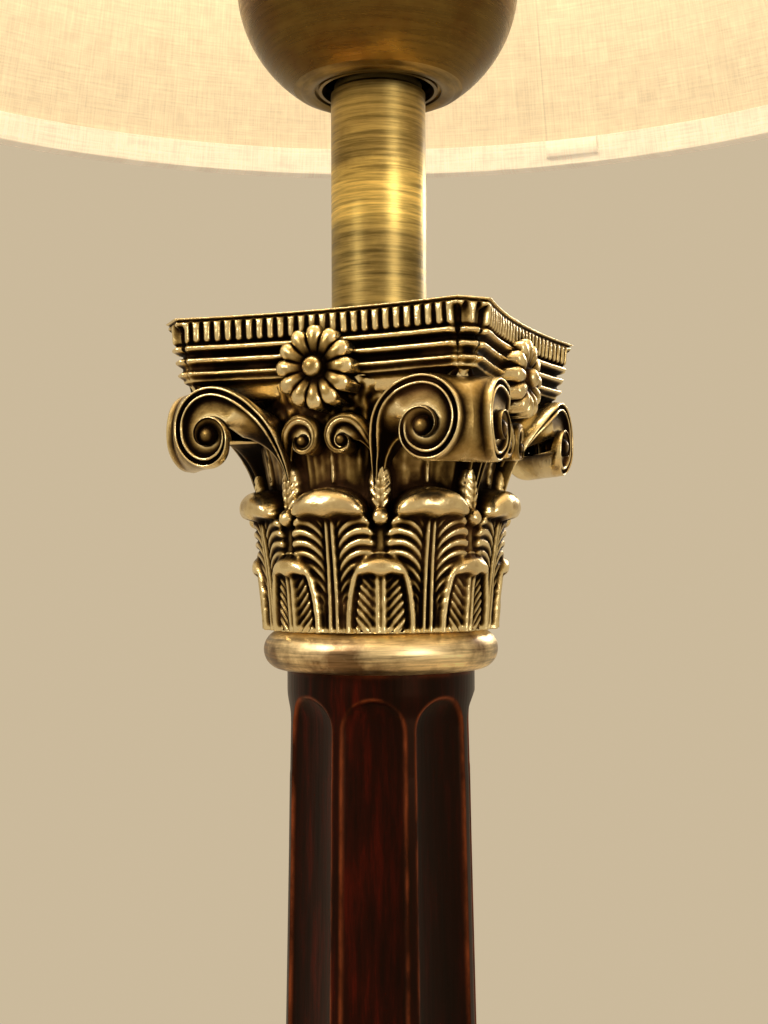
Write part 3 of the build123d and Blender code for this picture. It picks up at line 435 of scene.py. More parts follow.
def frosted(name):
    """The bulb's lit glass."""
    material, tree, shader = new_material(name)
    fine = noise_node(tree, object_place(tree), 900.0, 2.0)
    tone = ramp(tree, fine, [(0.3, (0.90, 0.86, 0.76)), (0.7, (1.0, 0.97, 0.88))])
    tree.links.new(tone, shader.inputs["Base Color"])
    shader.inputs["Roughness"].default_value = 0.3
    shader.inputs["Emission Color"].default_value = (1.0, 0.86, 0.60, 1.0)
    shader.inputs["Emission Strength"].default_value = 1.0
    add_bump(tree, shader, fine, 0.00001)
    return material


coarse_turning = (30, 30, 500)
rubbed_band = (0.4235, 0.4375)     # heights on the neck tube
brass_cast = antique_brass("brass_cast")
brass_abacus = antique_brass("brass_abacus", 0.003)
brass_ring = turned_brass("brass_ring", (0.90, 0.72, 0.42), (0.13, 0.055, 0.018),
                          coarse_turning, patch=0.85)
brass_collar = turned_brass("brass_collar", (0.24, 0.17, 0.065), (0.07, 0.035, 0.012),
                            coarse_turning, patch=0.6)
brass_tube = turned_brass("brass_tube", (0.36, 0.27, 0.095), (0.14, 0.09, 0.028), rough=0.32)
brass_neck = turned_brass("brass_neck", (0.36, 0.27, 0.095), (0.13, 0.085, 0.027),
                          band=rubbed_band)
brass_bowl = turned_brass("brass_bowl", (0.17, 0.105, 0.026), (0.09, 0.030, 0.006),
                          (8, 8, 300), rough=0.2, patch=0.5, contrast=0.3)
brass_socket = turned_brass("brass_socket", (0.66, 0.50, 0.22), (0.46, 0.33, 0.14),
                            (20, 20, 600), rough=0.2, patch=0.2, contrast=0.3)
steel = plain_metal("steel", (0.58, 0.57, 0.55), 0.28)
aluminium = plain_metal("aluminium", (0.80, 0.80, 0.78), 0.25, coarse_turning, 0.00003)
cast_iron = plain_solid("cast_iron", (0.07, 0.07, 0.072), 0.6, 500.0, 0.0002)
felt = plain_solid("felt", (0.035, 0.085, 0.045), 0.95, 1500.0, 0.0004, 0.6)
card = plain_solid("card", (0.30, 0.26, 0.20), 0.9, 600.0, 0.0001)
phenolic = plain_solid("phenolic", (0.020, 0.016, 0.013), 0.25, 300.0, 0.00001)
wire_coat = plain_solid("wire_coat", (0.74, 0.69, 0.57), 0.35, 300.0, 0.00002)
wood_plain = mahogany("wood_plain")
wood_shaft = mahogany("wood_shaft", worn_and_lit_edges=True)
# The last number is each cloth's painted glow. The hem tape glows more, which paints a bright band
# along the hems.
shade_cloth = linen("shade_cloth", (0.80, 0.69, 0.52), 0.20, seam_angle=95.2)
shade_tape = linen("shade_tape", (0.90, 0.81, 0.66), 0.34)
bulb_frost = frosted("bulb_frost")

# Which material each CAD node wears.
wearers = [
    (felt, "felt_pad"),
    (wood_plain, "plinth_lower plinth_middle plinth_upper column_shaft"),
    (cast_iron, "base_weight"),
    (steel, "rod_washer rod_nut tie_rod harp_saddle"),
    (brass_ring, "attic_base astragal_ring finial"),
    (brass_cast, "capital"),
    (brass_abacus, "abacus"),
    (brass_neck, "neck_tube"),
    (brass_tube, "riser harp"),
    (brass_bowl, "bowl bowl_cover"),
    (brass_collar, "bowl_collar"),
    (brass_socket, "cord_bushing socket_cap socket_shell centre_contact terminal_screws"
                   " switch_spindle harp_sleeve_left harp_sleeve_right"),
    (card, "socket_liner"),
    (phenolic, "socket_interior switch_knob"),
    (aluminium, "thread_shell bulb_base"),
    (bulb_frost, "bulb_glass bulb_filament"),
    (shade_cloth, "shade_cover"),
    (shade_tape, "shade_hem_bottom shade_hem_top"),
    (wire_coat, "shade_ring_bottom shade_ring_top shade_spider"),
]
for material, names in wearers:
    for name in names.split():
        nodes[name].data.materials.clear()
        nodes[name].data.materials.append(material)


# ---------------------------------------------------------------- capital: bell and leaves
# Heights here are above the capital's foot. In the leaves, s is the place across a leaf.
BELL_HEIGHT = 54.7
LEAF_PITCH = np.pi / 4
MEAN_RADIUS = 27.5          # where distances round the bell are measured


def bell_radius(z):
    """The bell's outside: a slim cone that flares out above its waist."""
    foot_radius, waist_radius, lip_radius = 23.4, 25.0, 32.5
    waist = 24.6
    low = foot_radius + (waist_radius - foot_radius) * z / waist
    rise = np.clip((z - waist) / (BELL_HEIGHT - waist), 0, 1)
    return np.where(z < waist, low, waist_radius + (lip_radius - waist_radius) * rise ** 1.7)


def edge_round(distance, radius):
    """How far a rounded edge falls back, by distance inside the outline."""
    t = np.clip(1.0 - distance / radius, 0.0, 1.0)
    return radius * (1.0 - np.sqrt(1.0 - t * t))


def fronds(q, pitch, depth):
    """How deep the valleys are between rows of round ridges, one ridge per pitch of q."""
    phase = q / pitch - np.round(q / pitch)
    return depth * (1.0 - dome(2.0 * phase))


def leaf_cap(s, z, half, foot, height, base, swell, dip):
    """The tip of a leaf curled over: a domed lens with a wavy lower edge. foot and height
    are its level and its rise in the middle, dip is how far its middle hangs below."""
    span = np.clip(s / half, -1, 1)
    crown = foot + height * dome(span) ** 0.9
    lower = foot - dip * (1 - span * span) - 0.25 * np.cos(span * 8.0)
    up = np.clip((z - lower) / np.clip(crown - lower, 0.3, None), 0, 1)
    bulge = dome(2 * up ** 0.8 - 1) ** 0.62 * dome(span) ** 0.45
    shape = base + swell * bulge
    return np.where((np.abs(s) < half) & (z > lower) & (z < crown), shape, 0.0)


def tall_leaf(s, z, wobble):
    """Radius of a tall leaf's face, 0 outside its outline. Fronds sweep up from its midrib."""
    full_width, narrow_width = 9.3, 2.9
    shoulder, shoulder_rise = 20.0, 8.2
    pitch = 2.35
    side = np.abs(s)
    grow = smooth((z - 3.0) / 15.0)
    width = narrow_width + (full_width - narrow_width) * grow
    arch = full_width * dome((z - shoulder) / shoulder_rise) ** 0.7
    width = np.where(z > shoulder, arch, width)
    rib = 1.5 - 0.02 * z
    out = np.clip(side - 0.5 * rib, 0.0, None)
    q = z - 3.9 * out ** 0.5 + 0.055 * out ** 2 + wobble
    phase = q / pitch - np.round(q / pitch)
    width = width + 0.45 * (dome(2.0 * phase) - 0.5) * grow
    inside = width - side
    radius = 25.9 + 3.0 * (np.clip(z, 0, 25) / 25.0) ** 1.4 + 0.10 * side
    feathered = smooth((side - rib) / 0.5) * smooth((z - 5.0) / 3.0)
    radius = radius - fronds(q, pitch, 1.35) * feathered
    radius = radius + 0.55 * ridge(side - 0.62 * rib, 0.42) - 0.75 * ridge(side, 0.28)
    radius = radius - 0.7 * ridge(side - rib - 0.25, 0.3)
    radius = radius - edge_round(inside, 0.8)
    radius = np.where(inside > 0, radius, 0.0)
    cap = leaf_cap(s, z, half=7.9, foot=25.2, height=6.0, base=28.2, swell=5.0, dip=0.5)
    return np.maximum(radius, cap)


def low_leaf(s, z, wobble):
    """Radius of a low leaf's face, 0 outside its outline: a rolled rim round a feathered blade."""
    side = np.abs(s)
    inside = 7.9 * dome(z / 17.2) ** 0.72 - side
    radius = 26.9 + 1.2 * (np.clip(z, 0, 13) / 13.0) ** 1.3
    radius = radius + 0.5 * ridge(inside - 0.75, 0.8) - 0.9 * ridge(inside - 1.8, 0.5)
    out = np.clip(side - 0.9, 0, None)
    q = z - 1.25 * out ** 0.9 + wobble
    feathered = smooth((side - 1.1) / 0.4) * smooth((inside - 1.6) / 0.5)
    radius = radius - (0.25 + fronds(q, 2.05, 1.15)) * feathered
    radius = radius + 0.5 * smooth((1.25 - side) / 0.3) - 0.55 * ridge(side, 0.3)
    radius = radius - edge_round(inside, 0.7)
    radius = np.where(inside > 0, radius, 0.0)
    cap = leaf_cap(s, z, half=5.5, foot=12.8, height=3.7, base=26.8, swell=3.0, dip=0.6)
    return np.maximum(radius, cap)


def bud_shape(s, z, wobble):
    """Radius of a bud between two tall leaves with the bead and the stem under it."""
    middle, half_height, half_width = 31.0, 5.6, 2.5
    bead_level, bead_radius = 24.8, 1.95
    stem_half = 1.7
    side = np.abs(s)
    inside = half_width * dome((z - middle) / half_height) ** 0.8 - side
    radius = 27.6 + 1.9 * np.sqrt(np.clip(inside, 0, None) / half_width) + 0.06 * (z - 30)
    q = z - 1.1 * side + wobble
    feathered = smooth((side - 0.25) / 0.3)
    radius = radius - fronds(q, 1.75, 1.2) * feathered - 0.8 * ridge(side, 0.32)
    radius = np.where((inside > 0) & (np.abs(z - middle) < half_height), radius, 0.0)
    away = np.hypot(s, z - bead_level)
    bead = 28.4 + 2.0 * dome(away / bead_radius)
    radius = np.maximum(radius, np.where(away < bead_radius, bead, 0.0))
    stem = 26.6 + 1.3 * ridge(s, stem_half)
    return np.maximum(radius, np.where((side < stem_half) & (z > 12) & (z < 24), stem, 0.0))


def capital_body():
    """Bell with both rows of leaves, buds and beads as one closed casting."""
    columns = 552
    leaves_top = 33.0
    heights = np.concatenate([np.linspace(0.0, leaves_top, 126),
                              np.linspace(leaves_top + 0.45, BELL_HEIGHT, 50)])
    theta = np.arange(columns) * 2 * np.pi / columns
    t, z = np.meshgrid(theta, heights, indexing="ij")
    around = t * MEAN_RADIUS
    length = 2 * np.pi * MEAN_RADIUS
    stipple = (value_noise(around, z, 1.25, 3, length)
               + 0.6 * value_noise(around, z, 0.7, 4, length))
    streak = value_noise(around, z * 0.12, 0.9, 5, length)
    radius = bell_radius(z) + 0.8 * (stipple - 0.8) * smooth((z - 39) / 6) + 0.5 * (streak - 0.5)
    wobble = 0.5 * (value_noise(around, z, 6.0, 6, length) - 0.5)

    def across(offset):
        """Distance from the nearest leaf's middle in a row turned by offset."""
        away = (t - offset + LEAF_PITCH / 2) % LEAF_PITCH - LEAF_PITCH / 2
        return away * MEAN_RADIUS

    s_tall, s_low = across(0.0), across(LEAF_PITCH / 2)
    radius = np.maximum(radius, tall_leaf(s_tall, z, wobble))
    radius = np.maximum(radius, bud_shape(s_low, z, wobble))
    radius = np.maximum(radius, low_leaf(s_low, z, wobble))
    radius = soften(radius) + 0.16 * (value_noise(around, z, 1.6, 8, length) - 0.5)
    outer = np.stack([radius * np.sin(t), -radius * np.cos(t), z + capital_foot], -1)
    inner = [circle(r, theta, level + capital_foot)
             for r, level in ((27.0, BELL_HEIGHT), (18.0, BELL_HEIGHT), (18.0, 0.0), (22.0, 0.0))]
    grid = np.concatenate([outer, np.stack(inner, 1)], 1)
    faces = closed_faces(columns, grid.shape[1])
    obj = make_object("capital_body", grid.reshape(-1, 3), faces, brass_cast)
    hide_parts("capital")
    return obj


# ---------------------------------------------------------------- capital: scrolls
def spiral(shape, travel):
    """Radius of a scroll's outer edge, rounded between the listed points."""
    weights = ((-16, 0.12), (-8, 0.22), (0, 0.32), (8, 0.22), (16, 0.12))
    return sum(w * float(np.interp(travel + d, shape["travel"], shape["radius"]))
               for d, w in weights)


def plain_profile(x, width, _):
    """Height across the ribbon of a small scroll: one broad rib and a deep hollow."""
    rib = min(1.2, 0.36 * width)
    shape = 1.5 * ridge(x - rib, rib) - 0.1 - 0.2 * ridge(x - 0.9 * rib, 0.2 * rib)
    return np.where(x > 1.7 * rib, np.maximum(shape, -1.7), shape)


def scroll_profile(x, width, fillet):
    """Height across the ribbon: a sharp rim, a groove, a second rim and a wide hollow channel."""
    fillet = min(fillet, 0.16 * width)
    second = 2.6 * fillet
    channel = second + 0.4 * fillet
    rim = np.maximum(ridge(x - 0.55 * fillet, 0.55 * fillet),
                     0.9 * ridge(x - second, 0.62 * fillet))
    groove = -0.15 - 0.25 * ridge(x - 1.55 * fillet, 0.8 * fillet)
    far = np.clip((x - channel) / max(width - channel, 1e-6), 0, 1)
    hollow = 0.30 - 1.35 * np.sin(far * np.pi * 0.62)
    return np.maximum(rim, np.where(x > second, hollow, groove))


def eye_part(centre, radius, height, depth):
    """The round eye of a scroll, facing the front. depth is how far it runs back."""
    count = 48
    angles = np.arange(count) * 2 * np.pi / count
    steps = np.linspace(0.04, 1.0, 14)
    rings = [(radius * k, height * math.sqrt(max(1 - k * k, 0.0))) for k in steps]
    rings.append((radius, -depth))
    grid = [np.stack([centre[0] + r * np.cos(angles), np.full(count, centre[1] - h),
                      centre[2] + r * np.sin(angles)], -1) for r, h in rings]
    return np.stack(grid, 1).reshape(-1, 3), grid_faces(count, len(rings), True)


def share_of(start, end, value):
    """How far value has gone from start to end, eased, from 0 to 1."""
    return float(smooth(np.array((value - start) / (end - start))))


def onto_bell(point):
    """The place behind a point of a scroll, a little inside the bell."""
    back = float(bell_radius(np.array(min(max(point[2], 0.0), BELL_HEIGHT - 0.7)))) - 1.5
    return np.array([point[0], -math.sqrt(max(back ** 2 - point[0] ** 2, 9.0)), point[2]])


def scroll_mesh(shape, front, joins_corner):
    """A scroll on the front face whose stem is on the left, as (points, quads). Each strip
    goes from the bell up the scroll's side wall, across the ribbon and back down inside."""
    eye, relief = shape["eye"], shape["relief"]
    first_turn_end = 346          # past it, the ribbon lies inside its own outer turn
    rise_per_degree = 0.0012      # the scroll stands out a little towards its eye
    travel = np.arange(shape["travel"][0], shape["stop"], 3.5)
    across = np.concatenate([np.linspace(0, 0.36, 16), np.linspace(0.42, 1.0, 11)])
    strips = []
    for tau in travel:
        outer = spiral(shape, tau)
        width = outer - spiral(shape, tau + 360.0)
        if tau < 0:
            width = min(width, float(np.interp(tau, shape["stem"], shape["stem_width"])))
        width = max(width, 0.05)
        angle = math.radians(180.0 - tau)
        rho = outer - across * width
        x, z = eye[0] + rho * math.cos(angle), eye[1] + rho * math.sin(angle)
        small = min(1.0, width / 2.6)
        lift = shape["profile"](across * width, width, shape["fillet"]) * small * relief
        rib = (0.9 * (1 - across ** 2.2) + 0.35 * ridge(across - 0.06, 0.09) - 0.15) * relief
        inner_turn = share_of(shape["rib_from"], shape["rib_from"] + 90.0, tau)
        lift = lift * (1 - inner_turn) + rib * inner_turn
        hug = share_of(34.0, -40.0, tau)
        bell = bell_radius(np.clip(z, 0, BELL_HEIGHT))
        low_face = np.sqrt(np.clip(bell ** 2 - x ** 2, 9.0, None)) + shape["stand"]
        face = front(x, z) * (1 - hug) + low_face * hug + lift + rise_per_degree * max(tau, 0)
        ribbon = np.stack([x, -face, z], -1)
        edge, last = ribbon[0], ribbon[-1]

        target = onto_bell(edge)
        if joins_corner and tau <= first_turn_end:
            half = (edge[0] - edge[1]) / 2
            middle = np.array([half, -half, edge[2]])
            share = share_of(15.0, 65.0, tau)
            target = target * (1 - share) + middle * share
        elif tau > first_turn_end:
            target = edge + np.array([0.0, 1.8, 0.0])
        step_out = np.array([math.cos(angle), 0.0, math.sin(angle)]) * 0.12
        start = edge + np.array([0.0, 0.5 * relief, 0.0]) + step_out
        wall = [target + (start - target) * w for w in (0.0, 0.2, 0.45, 0.7, 0.9, 1.0)]
        share = share_of(-6.0, 6.0, tau)
        deep = onto_bell(last) * (1 - share) + (last + np.array([0.0, 3.0, 0.0])) * share
        inner_wall = [last + (deep - last) * w for w in (0.3, 1.0)]
        strips.append(np.vstack([wall, ribbon, inner_wall]))
    grid = np.stack(strips, 0)
    faces = grid_faces(grid.shape[0], grid.shape[1], False)[:, ::-1]
    face = float(front(np.array(eye[0]), np.array(eye[1])))
    face += rise_per_degree * shape["stop"] - 0.2 * relief
    radius = shape["eye_radius"]
    ball = eye_part((eye[0], -face, eye[1]), radius, radius * 0.85, 3.0)
    points, faces = gather([(grid.reshape(-1, 3), faces), ball])
    return points + np.array([0.0, 0.0, capital_foot]), faces


# travel and radius give a scroll's outer edge about its eye, in degrees from the left over the
# top. The stem's width is listed the same way. stand is how far the stem lies off the bell,
# and rib_from is where the ribbon turns into one plain rib.
VOLUTE = dict(
    eye=(24.6, 42.5), eye_radius=2.15,
    travel=[-56, -46.5, -37.2, -16, 7.2, 23.3, 41.5, 66.3, 92.3, 116, 141.8, 172, 208.7, 243,
            277, 310.3, 346, 388, 428, 470, 512, 551, 589, 640],
    radius=[24.6, 21.2, 17.9, 14.8, 13.2, 12.2, 11.3, 10.75, 10.7, 10.3, 9.4, 8.3, 7.6, 7.3,
            6.8, 6.03, 5.04, 4.4, 4.05, 3.7, 3.3, 2.9, 2.5, 2.1],
    stem=[-56, -46, -36, -26, -16, -6, 4], stem_width=[1.0, 1.7, 2.3, 3.0, 4.6, 7.4, 8.8],
    stop=640.0, stand=2.6, profile=scroll_profile, relief=1.3, fillet=0.72, rib_from=300.0)
HELIX = dict(
    eye=(-4.5, 40.9), eye_radius=1.35,
    travel=[-58, -40, -20, 0, 30, 60, 90, 120, 150, 180, 220, 270, 320, 360, 400],
    radius=[11.2, 9.0, 7.4, 6.5, 6.1, 6.0, 5.7, 5.2, 4.4, 3.7, 3.2, 2.8, 2.35, 1.9, 1.4],
    stem=[-58, -40, -20, 0], stem_width=[1.0, 1.8, 2.8, 3.8],
    stop=400.0, stand=1.9, profile=plain_profile, relief=0.85, fillet=0.55, rib_from=230.0)


def volute_front(x, z):
    """How far the front of a volute stands from the axis, on the right half of the front face."""
    low = smooth((41.0 - z) / 16.0)
    inward = np.clip((18.5 - x) / 7.0, 0, 1)
    return 36.2 - 3.0 * low - 2.4 * inward


def helix_front(x, z):
    """How far the front of a helix stands from the axis."""
    low = smooth((38.5 - z) / 9.0)
    return 31.8 - 1.0 * low - 0.18 * np.clip(np.abs(x) - 5.0, 0, None) ** 1.3


def mirrored(part):
    """The same piece on the other side of the face's middle."""
    points, faces = part
    return points * np.array([-1.0, 1.0, 1.0]), faces[:, ::-1]


def capital_scrolls():
    """Volutes and helices on all four faces, one piece of each kind."""
    volute = scroll_mesh(VOLUTE, volute_front, True)
    helix = mirrored(scroll_mesh(HELIX, helix_front, False))
    made = []
    for name, part in (("capital_volutes", volute), ("capital_helices", helix)):
        copies = [(turn(p, k * 90.0), f) for k in range(4) for p, f in (part, mirrored(part))]
        points, faces = gather(copies)
        made.append(make_object(name, points, faces, brass_cast))
    return made


# ---------------------------------------------------------------- abacus
ABACUS_HALF = 38.0          # half width between opposite faces
SIDE_HALF = 32.5            # half length of a side, up to the cut corner
SIDE_HOLLOW = 2.8           # how far a side curves in at its middle
CORNER_HALF = (ABACUS_HALF - SIDE_HALF) / math.sqrt(2)


def rosette_part():
    """Twelve plump petals and a bead, facing the front."""
    angles, rings = 288, 40
    petal_pitch = np.pi / 6
    petal_end, bead_radius = 8.95, 2.25
    base, rim_depth = 34.6, -6.0
    middle_height = 56.0
    phi = np.arange(angles) * 2 * np.pi / angles
    rho = np.concatenate([np.linspace(0.02, 2.2, 12), np.linspace(2.45, 9.0, rings - 12)])
    p, r = np.meshgrid(phi, rho, indexing="ij")
    away = ((p + petal_pitch / 2) % petal_pitch - petal_pitch / 2) * r
    half = 0.15 + 0.245 * r * dome(np.clip((r - 6.3) / 2.65, 0, 1)) ** 0.8
    plump = dome(np.clip(away / np.clip(half, 0.02, None), -1, 1))
    rise = 0.3 + 1.7 * smooth((r - 1.2) / 4.6)
    rise = rise * dome(np.clip((r - 6.0) / 2.95, 0, 1)) ** 0.6
    on_petal = (np.abs(away) < half) & (r < petal_end)
    height = np.where(on_petal, 0.5 + rise * plump ** 0.7, rim_depth + 0.5)
    bead = 1.9 + 1.9 * dome(np.clip(r / bead_radius, 0, 1))
    height = np.where(r < bead_radius, np.maximum(bead, height), height)
    height[:, -1] = rim_depth
    level = middle_height + capital_foot
    grid = np.stack([r * np.cos(p), -(base + height), level + r * np.sin(p)], -1)
    points = np.vstack([grid.reshape(-1, 3), [[0.0, -(base + 3.9), level]]])
    quads = grid_faces(angles, rings, True)[:, ::-1]
    inner = np.arange(angles) * rings
    caps = np.stack([np.roll(inner, -1), inner, np.full(angles, len(points) - 1)], -1)
    return points, quads, caps


def abacus_plan(count):
    """Points round the full-size plan with their outward directions, their place along each
    side or corner, and whether they are on a side."""
    side_length = 2 * SIDE_HALF
    per_side = int(count / 4 * side_length / (side_length + 2 * CORNER_HALF))
    per_corner = count // 4 - per_side
    plan, place = [], []
    for k in range(per_side):
        x = -SIDE_HALF + side_length * (k + 0.5) / per_side
        plan.append((x, -(ABACUS_HALF - SIDE_HOLLOW * (1 - (x / SIDE_HALF) ** 2))))
        place.append(x)
    for k in range(per_corner):
        share = (k + 0.5) / per_corner
        step = (ABACUS_HALF - SIDE_HALF) * share
        plan.append((SIDE_HALF + step, -ABACUS_HALF + step))
        place.append((share - 0.5) * 2 * CORNER_HALF)
    plan = np.column_stack([plan, np.zeros(len(plan))])
    ring = np.vstack([turn(plan, 90.0 * k) for k in range(4)])[:, :2]
    for _ in range(2):
        ring = 0.5 * ring + 0.25 * (np.roll(ring, 1, 0) + np.roll(ring, -1, 0))
    ahead = np.roll(ring, -1, 0) - np.roll(ring, 1, 0)
    ahead /= np.linalg.norm(ahead, axis=1)[:, None]
    outward = np.stack([ahead[:, 1], -ahead[:, 0]], -1)
    on_side = [True] * per_side + [False] * per_corner
    return ring, outward, np.tile(place, 4), np.tile(on_side, 4)


# The mouldings of the abacus from its foot up: height above the capital's foot, and inset.
ABACUS_MOULDINGS = [
    (50.6, 7.5), (51.4, 6.2), (53.9, 5.6), (54.4, 4.4), (54.7, 3.6), (55.3, 3.6), (55.7, 3.3),
    (56.0, 2.4), (56.35, 2.05), (56.7, 2.25), (57.0, 2.9), (57.4, 3.35), (57.9, 3.3),
    (58.3, 2.9), (58.6, 2.0), (59.0, 1.55), (59.5, 1.6), (59.8, 2.2), (60.0, 3.1), (60.5, 3.4),
    (60.9, 3.2), (61.1, 2.0), (61.35, 1.1), (61.8, 0.75), (62.2, 0.95), (62.45, 1.5),
    (62.6, 2.0), (62.85, 1.3), (63.2, 0.75), (64.5, 0.62), (66.0, 0.55), (67.3, 0.6),
    (67.6, 0.95), (67.75, 0.8), (67.9, 0.2), (68.1, 0.02), (68.25, 0.25), (68.3, 0.8),
]


def cuts(place, reach):
    """Depth from 0 to 1 of a row of cuts, one at each whole place, with that half width."""
    phase = place - np.round(place)
    return np.clip(1 - np.abs(phase) / np.clip(reach, 0.02, None), 0, 1)


def abacus_plate():
    """The moulded cap plate, with a row of upright cuts in its top band."""
    foot, top = ABACUS_MOULDINGS[0][0], ABACUS_MOULDINGS[-1][0]
    band_foot, band_top = 62.6, 67.3
    hole_radius, recess_radius, recess_top = 9.6, 24.0, 63.0
    corner_end = 3.9            # from a corner's middle to the notch's reference edge
    ring, outward, place, on_side = abacus_plan(1168)
    columns = len(ring)
    levels = np.concatenate([np.linspace(foot, 54.3, 6), np.linspace(54.6, band_foot, 42),
                             np.linspace(62.78, 67.4, 22), np.linspace(67.5, top, 9)])
    inset = np.tile(np.interp(levels, *zip(*ABACUS_MOULDINGS)), (columns, 1))
    s, z, on_side = place[:, None], levels[None, :], on_side[:, None]

    # The cuts are widest at their foot and pointed at the top. Each corner has two.
    v = np.clip((z - band_foot) / (band_top - band_foot), 0, 1)
    in_band = (z > band_foot) & (z < band_top + 0.05)
    reach = np.where(v < 0.20, 0.40 - 0.6 * v, 0.27 * dome((v - 0.20) / 0.82) ** 0.75)
    side_cuts = 1.25 * cuts(s / 2.42, reach) ** 0.8 * in_band * (np.abs(s) < 31.2) * on_side
    reach = np.where(v < 0.2, 0.38, 0.38 * dome((v - 0.2) / 0.8))
    corner_cuts = 1.2 * cuts(s / 3.0 + 0.5, reach) ** 0.55 * in_band
    corner_cuts = corner_cuts * ~on_side * (np.abs(s) < 2.9)

    # A notch runs down beside each corner.
    to_edge = np.where(on_side, SIDE_HALF, corner_end) - np.abs(s)
    notch = 3.2 * np.exp(-((to_edge - 0.9) / 0.85) ** 2) * smooth((67.0 - z) / 1.5)
    along, up = s + 60, z + 0 * s
    uneven = (0.14 * (value_noise(along, up, 2.4, 21) - 0.5)
              + 0.10 * (value_noise(along, up, 0.8, 22) - 0.5))
    inset = soften(inset + side_cuts + corner_cuts + notch * (z < 67.2) + uneven * (z < 68.0))
    outer = np.stack([ring[:, 0:1] - outward[:, 0:1] * inset,
                      ring[:, 1:2] - outward[:, 1:2] * inset,
                      np.broadcast_to(z + capital_foot, inset.shape)], -1)

    # The flat top runs in to the neck's hole, and the underside has a round recess.
    spokes = ring / np.linalg.norm(ring, axis=1)[:, None]
    edge, rim = outer[:, -1, :2], spokes * hole_radius
    inner = [(edge * 0.65 + rim * 0.35, abacus_top), (rim, abacus_top), (rim, recess_top),
             (spokes * recess_radius, recess_top), (spokes * recess_radius, foot)]
    inner = [np.column_stack([flat, np.full(columns, level + capital_foot)])
             for flat, level in inner]
    grid = np.concatenate([outer, np.stack(inner, 1)], 1)
    faces = closed_faces(columns, grid.shape[1])
    obj = make_object("abacus_plate", grid.reshape(-1, 3), faces, brass_abacus)
    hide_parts("abacus")
    return obj


def abacus_rosettes():
    """A rosette on each side of the abacus."""
    points, quads, caps = rosette_part()
    all_points, all_faces = [], []
    for k in range(4):
        first = k * len(points)
        all_points.append(turn(points, 90.0 * k))
        all_faces += (quads + first).tolist() + (caps + first).tolist()
    return make_object("abacus_rosettes", np.vstack(all_points), all_faces, brass_abacus)


for piece in [capital_body(), *capital_scrolls(), abacus_plate(), abacus_rosettes()]:
    mark_relief(piece)


# ---------------------------------------------------------------- fluted shaft
def fluted_shaft():
    """The tapered wooden column with eight round-ended flutes and plain bands at its ends."""
    foot_radius, top_radius, bore_radius = 25.4, 21.1, 7.3
    foot_band, top_band = 9.0, 5.4
    flute_count, flute_share, flute_depth = 8, 0.88, 2.2
    first_flute = math.radians(17.5)
    columns = 640
    low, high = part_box("column_shaft")
    bottom, top = low.z / MM, high.z / MM
    flutes_foot, flutes_top = bottom + foot_band, top - top_band
    heights = np.concatenate([
        np.linspace(bottom, flutes_foot + 14, 46),
        np.linspace(flutes_foot + 16, flutes_top - 18, 12),
        np.linspace(flutes_top - 17, top, 84),
    ])
    theta = np.arange(columns) * 2 * np.pi / columns
    t, z = np.meshgrid(theta, heights, indexing="ij")
    share = np.clip((z - flutes_foot) / (flutes_top - flutes_foot), 0, 1)
    surface = foot_radius + (top_radius - foot_radius) * share
    surface = surface + 0.5 * smooth((z - flutes_top + 4.5) / 5.5)
    pitch = 2 * np.pi / flute_count
    across = ((t - first_flute + pitch / 2) % pitch - pitch / 2) * surface
    half = surface * math.sin(math.radians(180 / flute_count * flute_share))
    beyond = np.maximum(z - (flutes_top - half), 0) + np.maximum(flutes_foot + half - z, 0)
    reach = np.hypot(across, beyond)
    inside = half - reach
    depth = flute_depth * (1 - np.clip(reach / half, 0, 1) ** 2) ** 0.8
    flute = np.where(inside > 0, depth + 0.35 * smooth(inside / 0.5), 0.0)
    radius = soften(surface - flute)
    outer = np.stack([radius * np.sin(t), -radius * np.cos(t), z], -1)
    inner = [circle(bore_radius, theta, level) for level in (top, bottom)]
    grid = np.concatenate([outer, np.stack(inner, 1)], 1)
    faces = closed_faces(columns, grid.shape[1])
    obj = make_object("fluted_shaft", grid.reshape(-1, 3), faces, wood_shaft)
    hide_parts("column_shaft")

    # The lacquer is rubbed through along the flutes' edges and at the top end, and the same marks
    # paint a highlight on these edges.
    wear_and_painted_light = np.exp(-((inside - 0.05) / 0.34) ** 2) * (z < flutes_top + 2)
    wear_and_painted_light = np.maximum(wear_and_painted_light, 0.5 * np.exp(-((z - top) / 0.7) ** 2))
    values = np.zeros(grid.shape[:2], np.float32)
    values[:, :len(heights)] = wear_and_painted_light
    add_values(obj, "wear_and_painted_light", values)


fluted_shaft()


# ---------------------------------------------------------------- folded end of the hem tape
def hem_tab():
    """The tape's end, folded back over the inside of the lower hem beside the seam."""
    low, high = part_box("shade_cover")
    rim, top = low.z / MM, high.z / MM
    rim_radius = high.x / MM
    top_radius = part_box("shade_ring_top")[1].x / MM
    slope = (rim_radius - top_radius) / (top - rim)
    count = 25
    along = np.radians(np.linspace(95.0, 89.7, count))
    # The tab's section: height above the cloth's lower edge, inset from the cloth's outside,
    # and whether the point is on the side that bulges.
    section = [(2.4, 5.85, False), (7.0, 5.80, False), (7.7, 6.4, True), (7.1, 7.2, True),
               (2.4, 7.4, True), (1.8, 6.7, True)]
    grid = []
    for height, inset, bulges in section:
        for k, angle in enumerate(along):
            bulge = 0.5 * math.sin(math.pi * k / (count - 1)) + 0.5 * (k in (0, count - 1))
            r = rim_radius - slope * height - inset - bulge * bulges
            grid.append((r * math.cos(angle), r * math.sin(angle), rim + height))
    faces = grid_faces(len(section), count, True).tolist()
    corners = [j * count for j in range(len(section))]
    faces += [corners, [j + count - 1 for j in corners[::-1]]]
    make_object("hem_tab", np.array(grid), faces, shade_tape, body="shade")


hem_tab()


